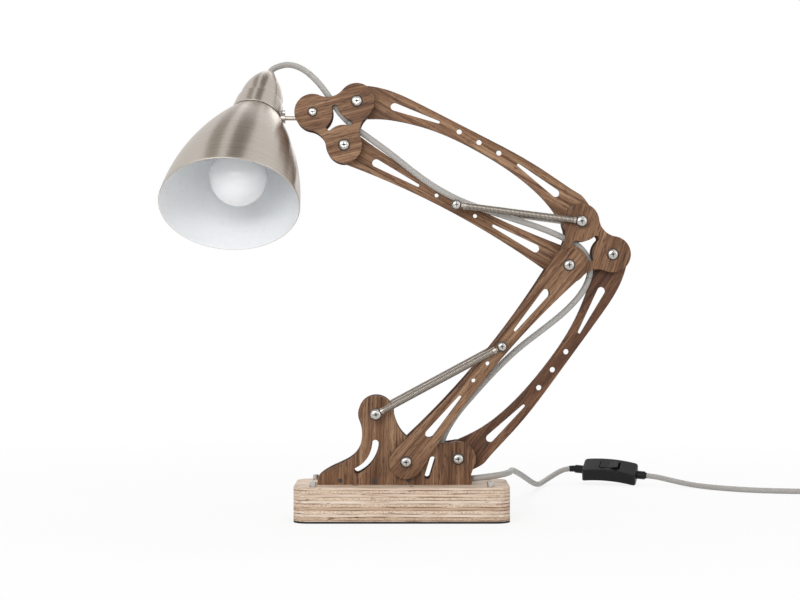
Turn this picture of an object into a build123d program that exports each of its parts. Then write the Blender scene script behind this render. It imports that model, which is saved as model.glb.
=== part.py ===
"""Desk lamp on a sprung wooden double arm, with a plywood base, a spun metal shade and a mains cord.

The lamp stands on z = 0 with the middle of its base at x = y = 0. The arms move in the XZ plane, +X points
away from the shade, and the side with the screw heads faces -Y.
"""

import math
import os

from build123d import *

os.makedirs("parts", exist_ok=True)

# Base
base_length = 221
base_depth = 96
base_corner = 16
pad_height = 2
block_height = 34
weight_length = 160
weight_depth = 56
weight_height = 8
corner_screw_inset = 20
corner_screw_margin = 12
corner_screw_radius = 2
corner_screw_head = 3.6
corner_screw_head_height = 5.5
corner_screw_socket = 1.8

# Layers of the arm, counted from its middle plane
plate_thickness = 6
spacer_thickness = 7
washer_thickness = 1.2
washer_radius = 7
running_fit = 0.05
loose_fit = 0.3

# Pivots
lower_pivot_x = 4.5
lower_pivot_height = 24.1
rear_pivot_shift = 53.7
rear_pivot_rise = 2.6
link_length = 262.6
lower_angle = 50.4
upper_angle = 151.8
plate_side_length = 47
elbow_angle = 13.8
opened_pivot_clearance = 2

# Straight links
link_end_radius = 17.5
link_waist = 7.8
slot_start = 37.5
slot_length = 49
slot_wide_radius = 4.2
slot_tip_radius = 1.6
rear_link_opening = 2.2
link_hole_step = 22.7
link_hole_radius = 2.1

# Arched links
arch_outer_rise = 30.7
arch_inner_rise = 14.6
arch_shoulder = 29.3
arch_shoulder_at = 57
arch_slot_start = (36.5, 14.6)
arch_slot_end = (84, 22.1)
arch_hole_rise = 23.4
arch_hole_step = 23.4
arch_hole_radius = 2.8
arch_neck = (17.7, 25.5)
arch_inner_side = [(36, -0.8), (69, 9)]
arch_turn = 60
arch_end_turn = 20

# Three-lobed plates
lobe_radius = 18.7
waist_radius = 20.3
window_radius = 20.8
window_tip = 15.3

# Bracket
post_x = -26.5
post_height = 73.2
post_radius = 18.5
bracket_lobe = 18
bracket_lobe_turn = -20
post_left_turn = 200
post_right_turn = 14
toe_x = -87.5
toe_flank = [(-85.5, 8.5), (-72.5, 17.3), (-47, 32.5), (-41, 55)]
saddle = [(-5.6, 64), (6.5, 48), (26, 42.5)]
heel_x = 72.5
heel_step = (71.6, 11)
bow_slot = [(-27.2, 43), (-33, 25.5), (-46, 14.5)]
bow_slot_width = 6.6
small_slot_place = (29, 17.5)
small_slot_length = 18.5
small_slot_width = 5.7
small_slot_turn = 73
rail_height = 9
rail_start = -76
rail_end = 20
rail_screw_radius = 1.2
rail_screw_head = 2.1
rail_screw_head_height = 0.8
rail_screw_gap = 0.2
rail_screw_step = 35.3
foot_screw_radius = 2
foot_screw_cover = 1

# Pivot screws and nuts
screw_radius = 2.5
screw_head = 5.5
screw_head_height = 3.2
thin_screw_radius = 1.6
thin_screw_head = 4.4
thin_screw_head_height = 2.6
recess_width = 1.1
recess_depth = 1.3
recess_share = 1.1
head_rim_share = 0.3
head_crown_share = 0.5
head_bow_shares = (0.82, 0.76)
nut_height = 4
screw_overhang = 0.6
nut_radius = 4.8
thin_nut_radius = 3.4
sleeve_wall = 1.6

# Springs
coil_radius = 3.1
spring_wire = 0.65
spring_turns = 24
eye_wall = 1.3
eye_thickness = 1.6
eye_float = 2.4
eye_gap = 0.3
ferrule_length = 3
tongue_width = 3
spring_clearance = 0.7

# Shade, measured along its axis from the bottom of the neck
shade_lean = 9.3
shade_swivel = 38
neck_x = -150.3
neck_rise = 8.6
rod_drop = 5.1
rod_radius = 2.3
bell_depth = 130
bell_reach = 146
bell_mouth_radius = 70.6
bell_top_radius = 20.4
shell_thickness = 0.9
neck_skirt_radius = 26.8
neck_skirt = 8
neck_step = 12.5
neck_step_radius = 23.4
neck_ledge = 1
neck_ledge_inset = 0.6
neck_skirt_bow = 2.2
neck_dome_bow = 3.7
neck_dome_middle = 21
neck_height = 53
neck_top_radius = 9
grommet_radius = 5
grommet_length = 5
grommet_lip = 1.5
knuckle_radius = 5.4
knuckle_reach = 8.9
rod_inside = 18.5
clip_radius = 3.4
clip_thickness = 1
neck_screw_radius = 1.5
neck_screw_head = 2.6
neck_screw_head_height = 1.8
neck_screw_place = 4
neck_screw_seat = 26.25
stem_boss_radius = 8
holder_radius = 16.5
holder_wall = 2.5
holder_top = 24
holder_bottom = 22
holder_flange = 18.6
holder_flange_thickness = 2
holder_floor = 1
bulb_radius = 29.5
bulb_centre = 92
bulb_neck_radius = 13.2
bulb_seat = 16
bulb_cap_length = 22
bulb_cap_margin = 0.4
bulb_wall = 1
bulb_neck_rise = 2
bulb_shoulder = 35

# Cord and what is on it
cord_radius = 3.2
cord_gap = 0.5
cord_y = -6.6
cord_insert = 4
cord_corner_share = 0.45
cap_lead = 7
switch_length = 66
switch_width = 27
switch_height = 15
switch_bow = 3.5
switch_corner = 4
switch_edge = 2
switch_x = 257.2
switch_y = 333.7
switch_turn = -16
switch_pitch = 4
switch_roll = 30
switch_settle = 0.7
rocker_length = 22
rocker_width = 13
rocker_top = 4.6
rocker_dip = 1.4
rocker_depth = 3
rocker_tilt = 6
rocker_pin_radius = 1.5
rocker_pin_reach = 2
rocker_pin_drop = 3
rocker_shoulder = 1
pocket_margin = 1.6
pocket_depth = 8
relief_length = 10
straight_lead = 12
relief_radius = 5
entry_height = 7.5
coil_x = 528
coil_y = 246
coil_outer = 43
coil_turns = 5.25
coil_entry = -112
coil_lead = 28
coil_lift = 0.1
plug_x = 581
plug_y = 279
plug_turn = 80
plug_length = 36
plug_width = 26
plug_height = 13
plug_neck_width = 12
plug_neck_length = 9
plug_shoulder = 20
plug_edge = 1.5
pin_radius = 2
pin_length = 19
pin_seat = 7
pin_pitch = 18.6

base_top = pad_height + block_height
half_gap = plate_thickness / 2 + spacer_thickness
plate_face = half_gap + plate_thickness
outer_link_back = plate_face + washer_thickness
outer_link_face = outer_link_back + plate_thickness
spring_radius = coil_radius + spring_wire
lower_spring_y = outer_link_face + spring_clearance + spring_radius
upper_spring_y = plate_face + spring_clearance + spring_radius
spring_seat = eye_thickness / 2 + eye_gap


def polar(start, length, angle):
    """Point at a distance and an angle from another, in the plane of the arms."""
    return Vector(
        start.X + length * math.cos(math.radians(angle)),
        0,
        start.Z + length * math.sin(math.radians(angle)),
    )


lower_pivot = Vector(lower_pivot_x, 0, base_top + lower_pivot_height)
rear_pivot = lower_pivot + Vector(rear_pivot_shift, 0, rear_pivot_rise)
post_pivot = Vector(post_x, 0, base_top + post_height)
elbow_pivot = polar(lower_pivot, link_length, lower_angle)
elbow_rear = polar(elbow_pivot, plate_side_length, elbow_angle)
elbow_top = polar(elbow_pivot, plate_side_length, elbow_angle + 60)
head_pivot = polar(elbow_pivot, link_length, upper_angle)
head_top = polar(head_pivot, plate_side_length, elbow_angle + 60)
tilt_pivot = polar(head_pivot, plate_side_length, elbow_angle + 120)
lower_spring_pin = polar(lower_pivot, link_length / 2 + link_hole_step, lower_angle)
upper_spring_pin = polar(elbow_pivot, link_length / 2, upper_angle)
rod_height = tilt_pivot.Z - rod_drop


def finish(piece, label):
    """Names a finished piece and writes its file."""
    piece.part.label = label
    export_step(piece.part, f"parts/{label}.step")


def front(distance):
    """Plane facing -Y, at a distance in front of the arm's middle plane (behind it where negative)."""
    return Plane.XZ.offset(distance)


def along(start, end, distance):
    """Plane facing -Y with its x axis from one pivot to another, a distance in front of the middle plane."""
    return Plane(origin=(start.X, -distance, start.Z), x_dir=end - start, z_dir=(0, -1, 0))


def flat(point):
    """A point of the arm's plane as sketch coordinates."""
    return (point.X, point.Z)


# Base block, pad and weight
with BuildPart() as base_pad:
    with BuildSketch():
        RectangleRounded(base_length, base_depth, base_corner)
    extrude(amount=pad_height)
finish(base_pad, "base_pad")

corner_places = [
    (x * (base_length / 2 - corner_screw_inset), y * (base_depth / 2 - corner_screw_margin))
    for x in (-1, 1)
    for y in (-1, 1)
]
rail_middle = (rail_start + rail_end) / 2
foot_places = [(rail_middle - rail_screw_step / 2, 0), (rail_middle + rail_screw_step / 2, 0)]

with BuildPart() as base_block:
    with BuildSketch(Plane.XY.offset(pad_height)):
        RectangleRounded(base_length, base_depth, base_corner)
    extrude(amount=block_height)
    with BuildSketch(Plane.XY.offset(pad_height)):
        Rectangle(weight_length + 2 * loose_fit, weight_depth + 2 * loose_fit)
    extrude(amount=weight_height, mode=Mode.SUBTRACT)
    with BuildSketch(Plane.XY.offset(pad_height)):
        with Locations(*corner_places):
            Circle(corner_screw_radius + running_fit)
    extrude(amount=block_height, mode=Mode.SUBTRACT)
    with BuildSketch(Plane.XY.offset(pad_height + weight_height)):
        with Locations(*foot_places):
            Circle(foot_screw_radius + running_fit)
    extrude(amount=block_height, mode=Mode.SUBTRACT)
finish(base_block, "base_block")

with BuildPart() as base_weight:
    with BuildSketch(Plane.XY.offset(pad_height)):
        Rectangle(weight_length, weight_depth)
    extrude(amount=weight_height)
finish(base_weight, "base_weight")

with BuildPart() as corner_screws:
    for place in corner_places:
        with BuildSketch(Plane.XY.offset(base_top)):
            with Locations(place):
                Circle(corner_screw_head)
        extrude(amount=corner_screw_head_height)
        with BuildSketch(Plane.XY.offset(base_top)):
            with Locations(place):
                Circle(corner_screw_radius)
        extrude(amount=-block_height)
        with BuildSketch(Plane.XY.offset(base_top + corner_screw_head_height)):
            with Locations(place):
                RegularPolygon(corner_screw_socket, 6)
        extrude(amount=-corner_screw_head_height / 2, mode=Mode.SUBTRACT)
finish(corner_screws, "corner_screws")

# Foot rail between the bracket plates, with the screws that hold it
with BuildPart() as foot_rail:
    with BuildSketch(Plane.XY.offset(base_top)):
        with Locations((rail_middle, 0)):
            Rectangle(rail_end - rail_start, 2 * half_gap)
    extrude(amount=rail_height)
    with BuildSketch(Plane.XY.offset(base_top)):
        with Locations(*foot_places):
            Circle(foot_screw_radius + running_fit)
    extrude(amount=rail_height, mode=Mode.SUBTRACT)
    with BuildSketch(front(half_gap)):
        with Locations((rail_middle, base_top + rail_height / 2)):
            with GridLocations(rail_screw_step, 1, 3, 1):
                Circle(rail_screw_radius + running_fit)
    extrude(amount=-2 * half_gap, mode=Mode.SUBTRACT)
finish(foot_rail, "foot_rail")

with BuildPart() as foot_screws:
    with BuildSketch(Plane.XY.offset(pad_height + weight_height)):
        with Locations(*foot_places):
            Circle(foot_screw_radius)
    extrude(amount=block_height - weight_height + rail_height - foot_screw_cover)
finish(foot_screws, "foot_screws")

with BuildPart() as rail_screws:
    for side in (-1, 1):
        with BuildSketch(front(-side * plate_face)):
            with Locations((rail_middle, base_top + rail_height / 2)):
                with GridLocations(rail_screw_step, 1, 3, 1):
                    Circle(rail_screw_radius)
        extrude(amount=side * (plate_face - rail_screw_gap))
        with BuildSketch(front(-side * plate_face)):
            with Locations((rail_middle, base_top + rail_height / 2)):
                with GridLocations(rail_screw_step, 1, 3, 1):
                    Circle(rail_screw_head)
        extrude(amount=-side * rail_screw_head_height)
finish(rail_screws, "rail_screws")

# Bracket plates: spring post on the left, lower pivot in the middle, arched link's lobe on the right
toe_tip = (toe_x, base_top)
heel_tip = (heel_x, base_top)
left_flank = [(x, base_top + rise) for x, rise in toe_flank]
left_flank.append(flat(polar(post_pivot, post_radius, post_left_turn)))
right_flank = [flat(polar(post_pivot, post_radius, post_right_turn))]
right_flank += [(x, base_top + rise) for x, rise in saddle]
right_flank.append((rear_pivot.X, rear_pivot.Z + bracket_lobe))
lobe_foot = flat(polar(rear_pivot, bracket_lobe, bracket_lobe_turn))
bow_points = [(x, base_top + rise) for x, rise in bow_slot]


def bracket_plate(label, back):
    """One bracket plate, from its rear face forward."""
    with BuildPart() as plate:
        with BuildSketch(front(-back)):
            with BuildLine():
                Line(toe_tip, left_flank[0])
                Spline(*left_flank)
                Line(left_flank[-1], right_flank[0])
                Spline(*right_flank)
                Line(right_flank[-1], lobe_foot)
                Polyline(lobe_foot, (heel_step[0], base_top + heel_step[1]), heel_tip, toe_tip)
            make_face()
            with Locations(flat(post_pivot)):
                Circle(post_radius)
            with Locations(flat(rear_pivot)):
                Circle(bracket_lobe)
            with Locations(flat(lower_pivot), flat(rear_pivot), flat(post_pivot)):
                Circle(screw_radius + running_fit, mode=Mode.SUBTRACT)
            with BuildLine(mode=Mode.PRIVATE) as bend:
                ThreePointArc(*bow_points)
            SlotArc(bend.edge(), bow_slot_width, mode=Mode.SUBTRACT)
            with Locations((small_slot_place[0], base_top + small_slot_place[1])):
                SlotCenterToCenter(
                    small_slot_length, small_slot_width, rotation=small_slot_turn, mode=Mode.SUBTRACT
                )
            with Locations((rail_middle, base_top + rail_height / 2)):
                with GridLocations(rail_screw_step, 1, 3, 1):
                    Circle(rail_screw_radius + running_fit, mode=Mode.SUBTRACT)
        extrude(amount=plate_thickness)
    finish(plate, label)


bracket_plate("bracket_front", -half_gap)
bracket_plate("bracket_rear", plate_face)


# Wooden links
def straight_link(label, start, end, back, end_holes, pin_hole, opening=0):
    """Waisted link with a tapered slot at each end and three small holes between, all widened by opening."""
    pitch = (end - start).length
    bulge = link_end_radius - link_waist
    flank = ((pitch / 2) ** 2 + link_waist**2 - link_end_radius**2) / (2 * bulge)
    share = link_end_radius / (flank + link_end_radius)
    touch_x = share * pitch / 2
    touch_y = share * (flank + link_waist)
    far_x = pitch - touch_x
    holes = [link_hole_radius + opening] * 3
    holes[pin_hole] = thin_screw_radius + running_fit
    with BuildPart() as link:
        with BuildSketch(along(start, end, -back)):
            with BuildLine():
                ThreePointArc((touch_x, touch_y), (pitch / 2, link_waist), (far_x, touch_y))
                ThreePointArc((far_x, touch_y), (pitch + link_end_radius, 0), (far_x, -touch_y))
                ThreePointArc((far_x, -touch_y), (pitch / 2, -link_waist), (touch_x, -touch_y))
                ThreePointArc((touch_x, -touch_y), (-link_end_radius, 0), (touch_x, touch_y))
            make_face()
            for place, radius in zip(((0, 0), (pitch, 0)), end_holes):
                with Locations(place):
                    Circle(radius, mode=Mode.SUBTRACT)
            for step, radius in zip((-1, 0, 1), holes):
                with Locations((pitch / 2 + step * link_hole_step, 0)):
                    Circle(radius, mode=Mode.SUBTRACT)
        extrude(amount=plate_thickness)
        for wide, tip in (
            (slot_start, slot_start + slot_length),
            (pitch - slot_start, pitch - slot_start - slot_length),
        ):
            with BuildSketch(along(start, end, -back)):
                with Locations((wide, 0)):
                    Circle(slot_wide_radius + opening)
                with Locations((tip, 0)):
                    Circle(slot_tip_radius + opening)
                make_hull()
            extrude(amount=plate_thickness, mode=Mode.SUBTRACT)
    finish(link, label)


def arched_link(label, start, end, end_holes):
    """Bowed link between two pivots, in the middle layer, bowing to the left of the way from start to end."""
    pitch = (end - start).length
    run, rise = math.cos(math.radians(arch_turn)), math.sin(math.radians(arch_turn))
    tip_x = link_end_radius * math.cos(math.radians(arch_end_turn))
    tip_y = -link_end_radius * math.sin(math.radians(arch_end_turn))
    outer = [(-run * link_end_radius, rise * link_end_radius), arch_neck]
    outer += [(arch_shoulder_at, arch_shoulder), (pitch / 2, arch_outer_rise)]
    inner = [(run * link_end_radius, -rise * link_end_radius), *arch_inner_side]
    inner += [(pitch / 2, arch_inner_rise)]
    outer += [(pitch - x, y) for x, y in reversed(outer[:-1])]
    inner += [(pitch - x, y) for x, y in reversed(inner[:-1])]
    with BuildPart() as link:
        with BuildSketch(along(start, end, -plate_thickness / 2)):
            with BuildLine():
                Spline(*outer, tangents=((rise, run), (rise, -run)))
                ThreePointArc(outer[-1], (pitch + tip_x, tip_y), inner[-1])
                Spline(*reversed(inner), tangents=((-rise, run), (-rise, -run)))
                ThreePointArc(inner[0], (-tip_x, tip_y), outer[0])
            make_face()
            for place, radius in zip(((0, 0), (pitch, 0)), end_holes):
                with Locations(place):
                    Circle(radius, mode=Mode.SUBTRACT)
            for step in (-1, 0, 1):
                with Locations((pitch / 2 + step * arch_hole_step, arch_hole_rise)):
                    Circle(arch_hole_radius, mode=Mode.SUBTRACT)
        extrude(amount=plate_thickness)
        for turned in (False, True):
            ends = [(pitch - x if turned else x, y) for x, y in (arch_slot_start, arch_slot_end)]
            with BuildSketch(along(start, end, -plate_thickness / 2)):
                with Locations(ends[0]):
                    Circle(slot_wide_radius)
                with Locations(ends[1]):
                    Circle(slot_tip_radius)
                make_hull()
            extrude(amount=plate_thickness, mode=Mode.SUBTRACT)
    finish(link, label)


pivot_hole = screw_radius + running_fit
straight_link("lower_link_front", lower_pivot, elbow_pivot, -outer_link_back, (pivot_hole, pivot_hole), 2)
straight_link(
    "lower_link_rear", lower_pivot, elbow_pivot, outer_link_face, (pivot_hole, pivot_hole), 2, rear_link_opening
)
straight_link("upper_link", elbow_pivot, head_pivot, plate_thickness / 2, (pivot_hole, pivot_hole), 1)
arched_link("lower_arched_link", elbow_rear, rear_pivot, (screw_radius + opened_pivot_clearance, pivot_hole))
arched_link("upper_arched_link", head_top, elbow_top, (screw_radius + loose_fit, pivot_hole))


# Three-lobed plates of elbow and head
def lobed_plate(label, corners, back, holes):
    """Plate with a lobe round each of three pivots, hollow sides and a three-pointed window."""
    centre = (corners[0] + corners[1] + corners[2]) / 3
    with BuildPart() as plate:
        with BuildSketch(front(-back)):
            with BuildLine():
                for i in range(3):
                    here, after, before = corners[i], corners[(i + 1) % 3], corners[(i + 2) % 3]
                    leave = lobe_touch(centre, here, after)
                    enter = lobe_touch(centre, here, before)
                    tip = here + (here - centre).normalized() * lobe_radius
                    ThreePointArc(flat(enter), flat(tip), flat(leave))
                    waist = waist_point(centre, here, after)
                    ThreePointArc(flat(leave), flat(waist), flat(lobe_touch(centre, after, here)))
            make_face()
            with BuildLine():
                for i in range(3):
                    here, after, before = corners[i], corners[(i + 1) % 3], corners[(i + 2) % 3]
                    first = here + (before - here).normalized() * window_radius
                    middle = here + (centre - here).normalized() * window_radius
                    last = here + (after - here).normalized() * window_radius
                    ThreePointArc(flat(first), flat(middle), flat(last))
                    side = (here + after) / 2
                    tip = centre + (side - centre).normalized() * window_tip
                    following = after + (here - after).normalized() * window_radius
                    ThreePointArc(flat(last), flat(tip), flat(following))
            make_face(mode=Mode.SUBTRACT)
            for corner, radius in zip(corners, holes):
                with Locations(flat(corner)):
                    Circle(radius, mode=Mode.SUBTRACT)
        extrude(amount=plate_thickness)
    finish(plate, label)


def waist_centre(centre, here, after):
    """Centre of the hollow arc that touches the lobes round two corners."""
    side = (here + after) / 2
    reach = math.sqrt((lobe_radius + waist_radius) ** 2 - ((after - here).length / 2) ** 2)
    return side + (side - centre).normalized() * reach


def lobe_touch(centre, here, after):
    """Point where a lobe meets the hollow arc on the way to the next corner."""
    return here + (waist_centre(centre, here, after) - here).normalized() * lobe_radius


def waist_point(centre, here, after):
    """Middle of a hollow side."""
    middle = waist_centre(centre, here, after)
    return middle + (centre - middle).normalized() * waist_radius


elbow_corners = (elbow_pivot, elbow_rear, elbow_top)
head_corners = (head_pivot, head_top, tilt_pivot)
thin_hole = thin_screw_radius + running_fit
for side, back in (("front", -half_gap), ("rear", plate_face)):
    lobed_plate(f"elbow_plate_{side}", elbow_corners, back, (pivot_hole,) * 3)
    lobed_plate(f"head_plate_{side}", head_corners, back, (pivot_hole, pivot_hole, thin_hole))


# Screws, nuts, washers and sleeves on the pivots
def screws(label, places, with_screws=True, with_nuts=True):
    """Dome-headed screws with a cross recess and their nuts, each (pivot, reach either way, thin or not)."""
    with BuildPart() as piece:
        for pivot, reach, thin in places:
            radius = thin_screw_radius if thin else screw_radius
            head = thin_screw_head if thin else screw_head
            rise = thin_screw_head_height if thin else screw_head_height
            end = reach + nut_height + screw_overhang
            rim = (pivot.X + head, -reach - head_rim_share * rise)
            bow = (pivot.X + head_bow_shares[0] * head, -reach - head_bow_shares[1] * rise)
            crown = (pivot.X + head_crown_share * head, -reach - rise)
            if with_screws:
                with BuildSketch(Plane.XY.offset(pivot.Z)):
                    with BuildLine():
                        Polyline(
                            (pivot.X, -reach - rise),
                            (pivot.X, end),
                            (pivot.X + radius, end),
                            (pivot.X + radius, -reach),
                            (pivot.X + head, -reach),
                            rim,
                        )
                        ThreePointArc(rim, bow, crown)
                        Line(crown, (pivot.X, -reach - rise))
                    make_face()
                revolve(axis=Axis((pivot.X, 0, pivot.Z), (0, 1, 0)))
                with BuildSketch(front(reach + rise)):
                    with Locations(flat(pivot)):
                        Rectangle(recess_width, recess_share * head)
                        Rectangle(recess_share * head, recess_width)
                extrude(amount=-recess_depth, mode=Mode.SUBTRACT)
            if with_nuts:
                with BuildSketch(front(-reach - nut_height)):
                    with Locations(flat(pivot)):
                        RegularPolygon(thin_nut_radius if thin else nut_radius, 6)
                        Circle(radius + running_fit, mode=Mode.SUBTRACT)
                extrude(amount=nut_height)
    finish(piece, label)


def rings(label, places):
    """Washers and sleeves on both sides, each (pivot, near and far from the middle, bore, outer radius)."""
    with BuildPart() as piece:
        for pivot, near, far, bore, radius in places:
            for side in (-1, 1) if near else (-1,):
                with BuildSketch(front(-side * near if near else far)):
                    with Locations(flat(pivot)):
                        Circle(radius)
                        Circle(bore, mode=Mode.SUBTRACT)
                extrude(amount=-side * (far - near) if near else -2 * far)
    finish(piece, label)


lower_spring_reach = lower_spring_y + spring_seat
upper_spring_reach = upper_spring_y + spring_seat
base_places = [
    (lower_pivot, outer_link_face, False),
    (rear_pivot, plate_face, False),
    (post_pivot, lower_spring_reach, False),
]
elbow_places = [
    (elbow_pivot, outer_link_face, False),
    (elbow_rear, plate_face, False),
    (elbow_top, upper_spring_reach, False),
]
head_places = [
    (head_pivot, plate_face, False),
    (head_top, plate_face, False),
    (tilt_pivot, plate_face, True),
]
for group, places in (("base", base_places), ("elbow", elbow_places), ("head", head_places)):
    screws(f"{group}_screws", places, with_nuts=False)
    screws(f"{group}_nuts", places, with_screws=False)
screws("lower_spring_pin", [(lower_spring_pin, lower_spring_reach, True)])
screws("upper_spring_pin", [(upper_spring_pin, upper_spring_reach, True)])

link_face = plate_thickness / 2
sleeve_radius = screw_radius + sleeve_wall
thin_sleeve_radius = thin_screw_radius + sleeve_wall
rings(
    "base_washers",
    [
        (lower_pivot, 0, half_gap, pivot_hole, sleeve_radius),
        (lower_pivot, plate_face, outer_link_back, pivot_hole, washer_radius),
        (rear_pivot, link_face, half_gap, pivot_hole, washer_radius),
        (post_pivot, 0, half_gap, pivot_hole, sleeve_radius),
        (post_pivot, plate_face, lower_spring_y - spring_seat, pivot_hole, sleeve_radius),
    ],
)
rings(
    "elbow_washers",
    [
        (elbow_pivot, link_face, half_gap, pivot_hole, washer_radius),
        (elbow_pivot, plate_face, outer_link_back, pivot_hole, washer_radius),
        (elbow_rear, link_face, half_gap, pivot_hole, washer_radius),
        (elbow_top, link_face, half_gap, pivot_hole, washer_radius),
        (elbow_top, plate_face, upper_spring_y - spring_seat, pivot_hole, sleeve_radius),
    ],
)
rings(
    "head_washers",
    [
        (head_pivot, link_face, half_gap, pivot_hole, washer_radius),
        (head_top, link_face, half_gap, pivot_hole, washer_radius),
    ],
)
rings(
    "lower_spring_sleeves",
    [
        (lower_spring_pin, 0, outer_link_back, thin_hole, thin_sleeve_radius),
        (lower_spring_pin, outer_link_face, lower_spring_y - spring_seat, thin_hole, thin_sleeve_radius),
    ],
)
rings(
    "upper_spring_sleeves",
    [(upper_spring_pin, link_face, upper_spring_y - spring_seat, thin_hole, thin_sleeve_radius)],
)


# Springs: an eye with a ferrule at each end and an open coil between them
near_bore = screw_radius + loose_fit
far_bore = thin_screw_radius + eye_float
near_foot = screw_head + eye_gap
far_foot = thin_screw_head + eye_float + eye_gap
near_face = near_foot + ferrule_length
far_face = far_foot + ferrule_length


def eyes(label, pin, other, bore, foot, y):
    """Eyes round the spring screw on both sides of the arm, each with a tongue to the coil's ferrule."""
    axis = (other - pin).normalized()
    with BuildPart() as piece:
        for side in (-1, 1):
            with BuildSketch(along(pin, other, eye_thickness / 2 - side * y)):
                Circle(bore + eye_wall)
                with Locations((foot / 2, 0)):
                    Rectangle(foot, tongue_width)
                Circle(bore, mode=Mode.SUBTRACT)
            extrude(amount=-eye_thickness)
            with BuildSketch(Plane(origin=Vector(pin.X, side * y, pin.Z) + axis * foot, z_dir=axis)):
                Circle(spring_radius)
            extrude(amount=ferrule_length)
    finish(piece, label)


def biarc(start, start_way, end, end_way):
    """Joint of the two arcs that lead from one point and direction to another, with equal legs."""
    gap, ways = end - start, start_way + end_way
    square = ways.dot(ways) - 4
    across = gap.dot(ways)
    leg = (across - math.sqrt(across**2 - square * gap.dot(gap))) / square
    return (start + start_way * leg + end - end_way * leg) / 2


def wound_path(points, ways):
    """Unbroken line of arcs through points with given directions, two arcs from each point to the next."""
    with BuildLine() as path:
        for start, end, start_way, end_way in zip(points, points[1:], ways, ways[1:]):
            joint = biarc(start, start_way, end, end_way)
            first = TangentArc(start, joint, tangent=start_way)
            TangentArc(joint, end, tangent=first % 1)
    return path.line


def least_gap(name, point_at, start, end, turn, radius):
    """Prints and returns the least gap of a wound tube to itself, on points along its middle line."""
    per_turn = 24
    count = int((end - start) / turn * per_turn)
    points = [point_at(start + (end - start) * i / count) for i in range(count + 1)]
    apart = per_turn * 2 // 3
    pairs = [(i, j) for i in range(count + 1) for j in range(i + apart, count + 1)]
    least = min((points[i] - points[j]).length for i, j in pairs)
    print(name, "least gap of the turns", round(least - 2 * radius, 2), "mm")
    return least - 2 * radius


def spring_coil(label, pin, other, y):
    """Line of one open coil from ferrule to ferrule, with straight ends, and the plane at its start."""
    axis = (other - pin).normalized()
    length = (other - pin).length - near_face - far_face
    up = Vector(0, 1, 0).cross(axis)
    foot = Vector(pin.X, y, pin.Z) + axis * near_face
    straight = 2 * spring_wire
    lead = coil_radius
    pitch = (length - 2 * straight - 2 * lead) / spring_turns

    def helix(angle):
        return (
            foot
            + axis * (straight + lead + pitch * angle / (2 * math.pi))
            + (up * math.cos(angle) + Vector(0, 1, 0) * math.sin(angle)) * coil_radius
        )

    def way(angle):
        turning = Vector(0, 1, 0) * math.cos(angle) - up * math.sin(angle)
        return (turning * coil_radius + axis * (pitch / (2 * math.pi))).normalized()

    last = 2 * math.pi * spring_turns
    angles = [math.pi * i for i in range(2 * spring_turns + 1)]
    first_corner = foot + axis * straight - Vector(0, 1, 0) * coil_radius
    last_corner = foot + axis * (length - straight) + Vector(0, 1, 0) * coil_radius
    points = [first_corner] + [helix(a) for a in angles] + [last_corner]
    ways = [axis] + [way(a) for a in angles] + [axis]
    least_gap(label, helix, 0, last, 2 * math.pi, spring_wire)
    with BuildLine() as path:
        Line(first_corner - axis * straight, first_corner)
        add(wound_path(points, ways))
        Line(last_corner, last_corner + axis * straight)
    return path.line, Plane(origin=first_corner - axis * straight, z_dir=axis)


for name, near, far, y in (
    ("lower_spring", post_pivot, lower_spring_pin, lower_spring_y),
    ("upper_spring", elbow_top, upper_spring_pin, upper_spring_y),
):
    eyes(f"{name}_near_eyes", near, far, near_bore, near_foot, y)
    eyes(f"{name}_far_eyes", far, near, far_bore, far_foot, y)
    with BuildPart() as coils:
        for place in (-y, y):
            line, start = spring_coil(f"{name}_coils", near, far, place)
            with BuildSketch(start):
                Circle(spring_wire)
            sweep(path=line)
    finish(coils, f"{name}_coils")


# Stem: a boss between the head plates with the rod that carries the shade
lean, swivel = math.radians(shade_lean), math.radians(shade_swivel)
shade_axis = Vector(-math.sin(lean), -math.cos(lean) * math.sin(swivel), -math.cos(lean) * math.cos(swivel))
shade_side = Vector(math.cos(lean), -math.sin(lean) * math.sin(swivel), -math.sin(lean) * math.cos(swivel))
mouth_way = Vector(0, -math.sin(swivel), -math.cos(swivel))
neck_foot = Vector(neck_x, neck_rise * math.sin(swivel), rod_height + neck_rise * math.cos(swivel))
shade_profile = Plane(origin=neck_foot, x_dir=shade_side, z_dir=shade_side.cross(shade_axis))
shade_line = Axis(neck_foot, shade_axis)
knuckle_face = neck_x + bell_top_radius + knuckle_reach
rod_end = neck_x + rod_inside

with BuildPart() as shade_stem:
    with BuildSketch(front(half_gap - loose_fit)):
        with Locations(flat(tilt_pivot)):
            Circle(stem_boss_radius)
    extrude(amount=-2 * (half_gap - loose_fit))
    with BuildSketch(Plane.YZ.offset(rod_end)):
        with Locations((0, rod_height)):
            Circle(rod_radius)
    extrude(amount=tilt_pivot.X - rod_end)
    with BuildSketch(front(half_gap)):
        with Locations(flat(tilt_pivot)):
            Circle(thin_hole)
    extrude(amount=-2 * half_gap, mode=Mode.SUBTRACT)
finish(shade_stem, "shade_stem")

with BuildPart() as rod_clip:
    with BuildSketch(Plane.YZ.offset(rod_end)):
        with Locations((0, rod_height)):
            Circle(clip_radius)
            Circle(rod_radius + running_fit, mode=Mode.SUBTRACT)
    extrude(amount=clip_thickness)
finish(rod_clip, "rod_clip")

# Bell of the shade, its mouth cut parallel to the rod
with BuildPart() as bell_form:
    with BuildSketch(shade_profile):
        with BuildLine():
            Line((0, 0), (bell_top_radius, 0))
            Bezier((bell_top_radius, 0), (bell_mouth_radius, bell_reach / 2), (bell_mouth_radius, bell_reach))
            Polyline((bell_mouth_radius, bell_reach), (0, bell_reach), (0, 0))
        make_face()
    revolve(axis=shade_line)

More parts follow.
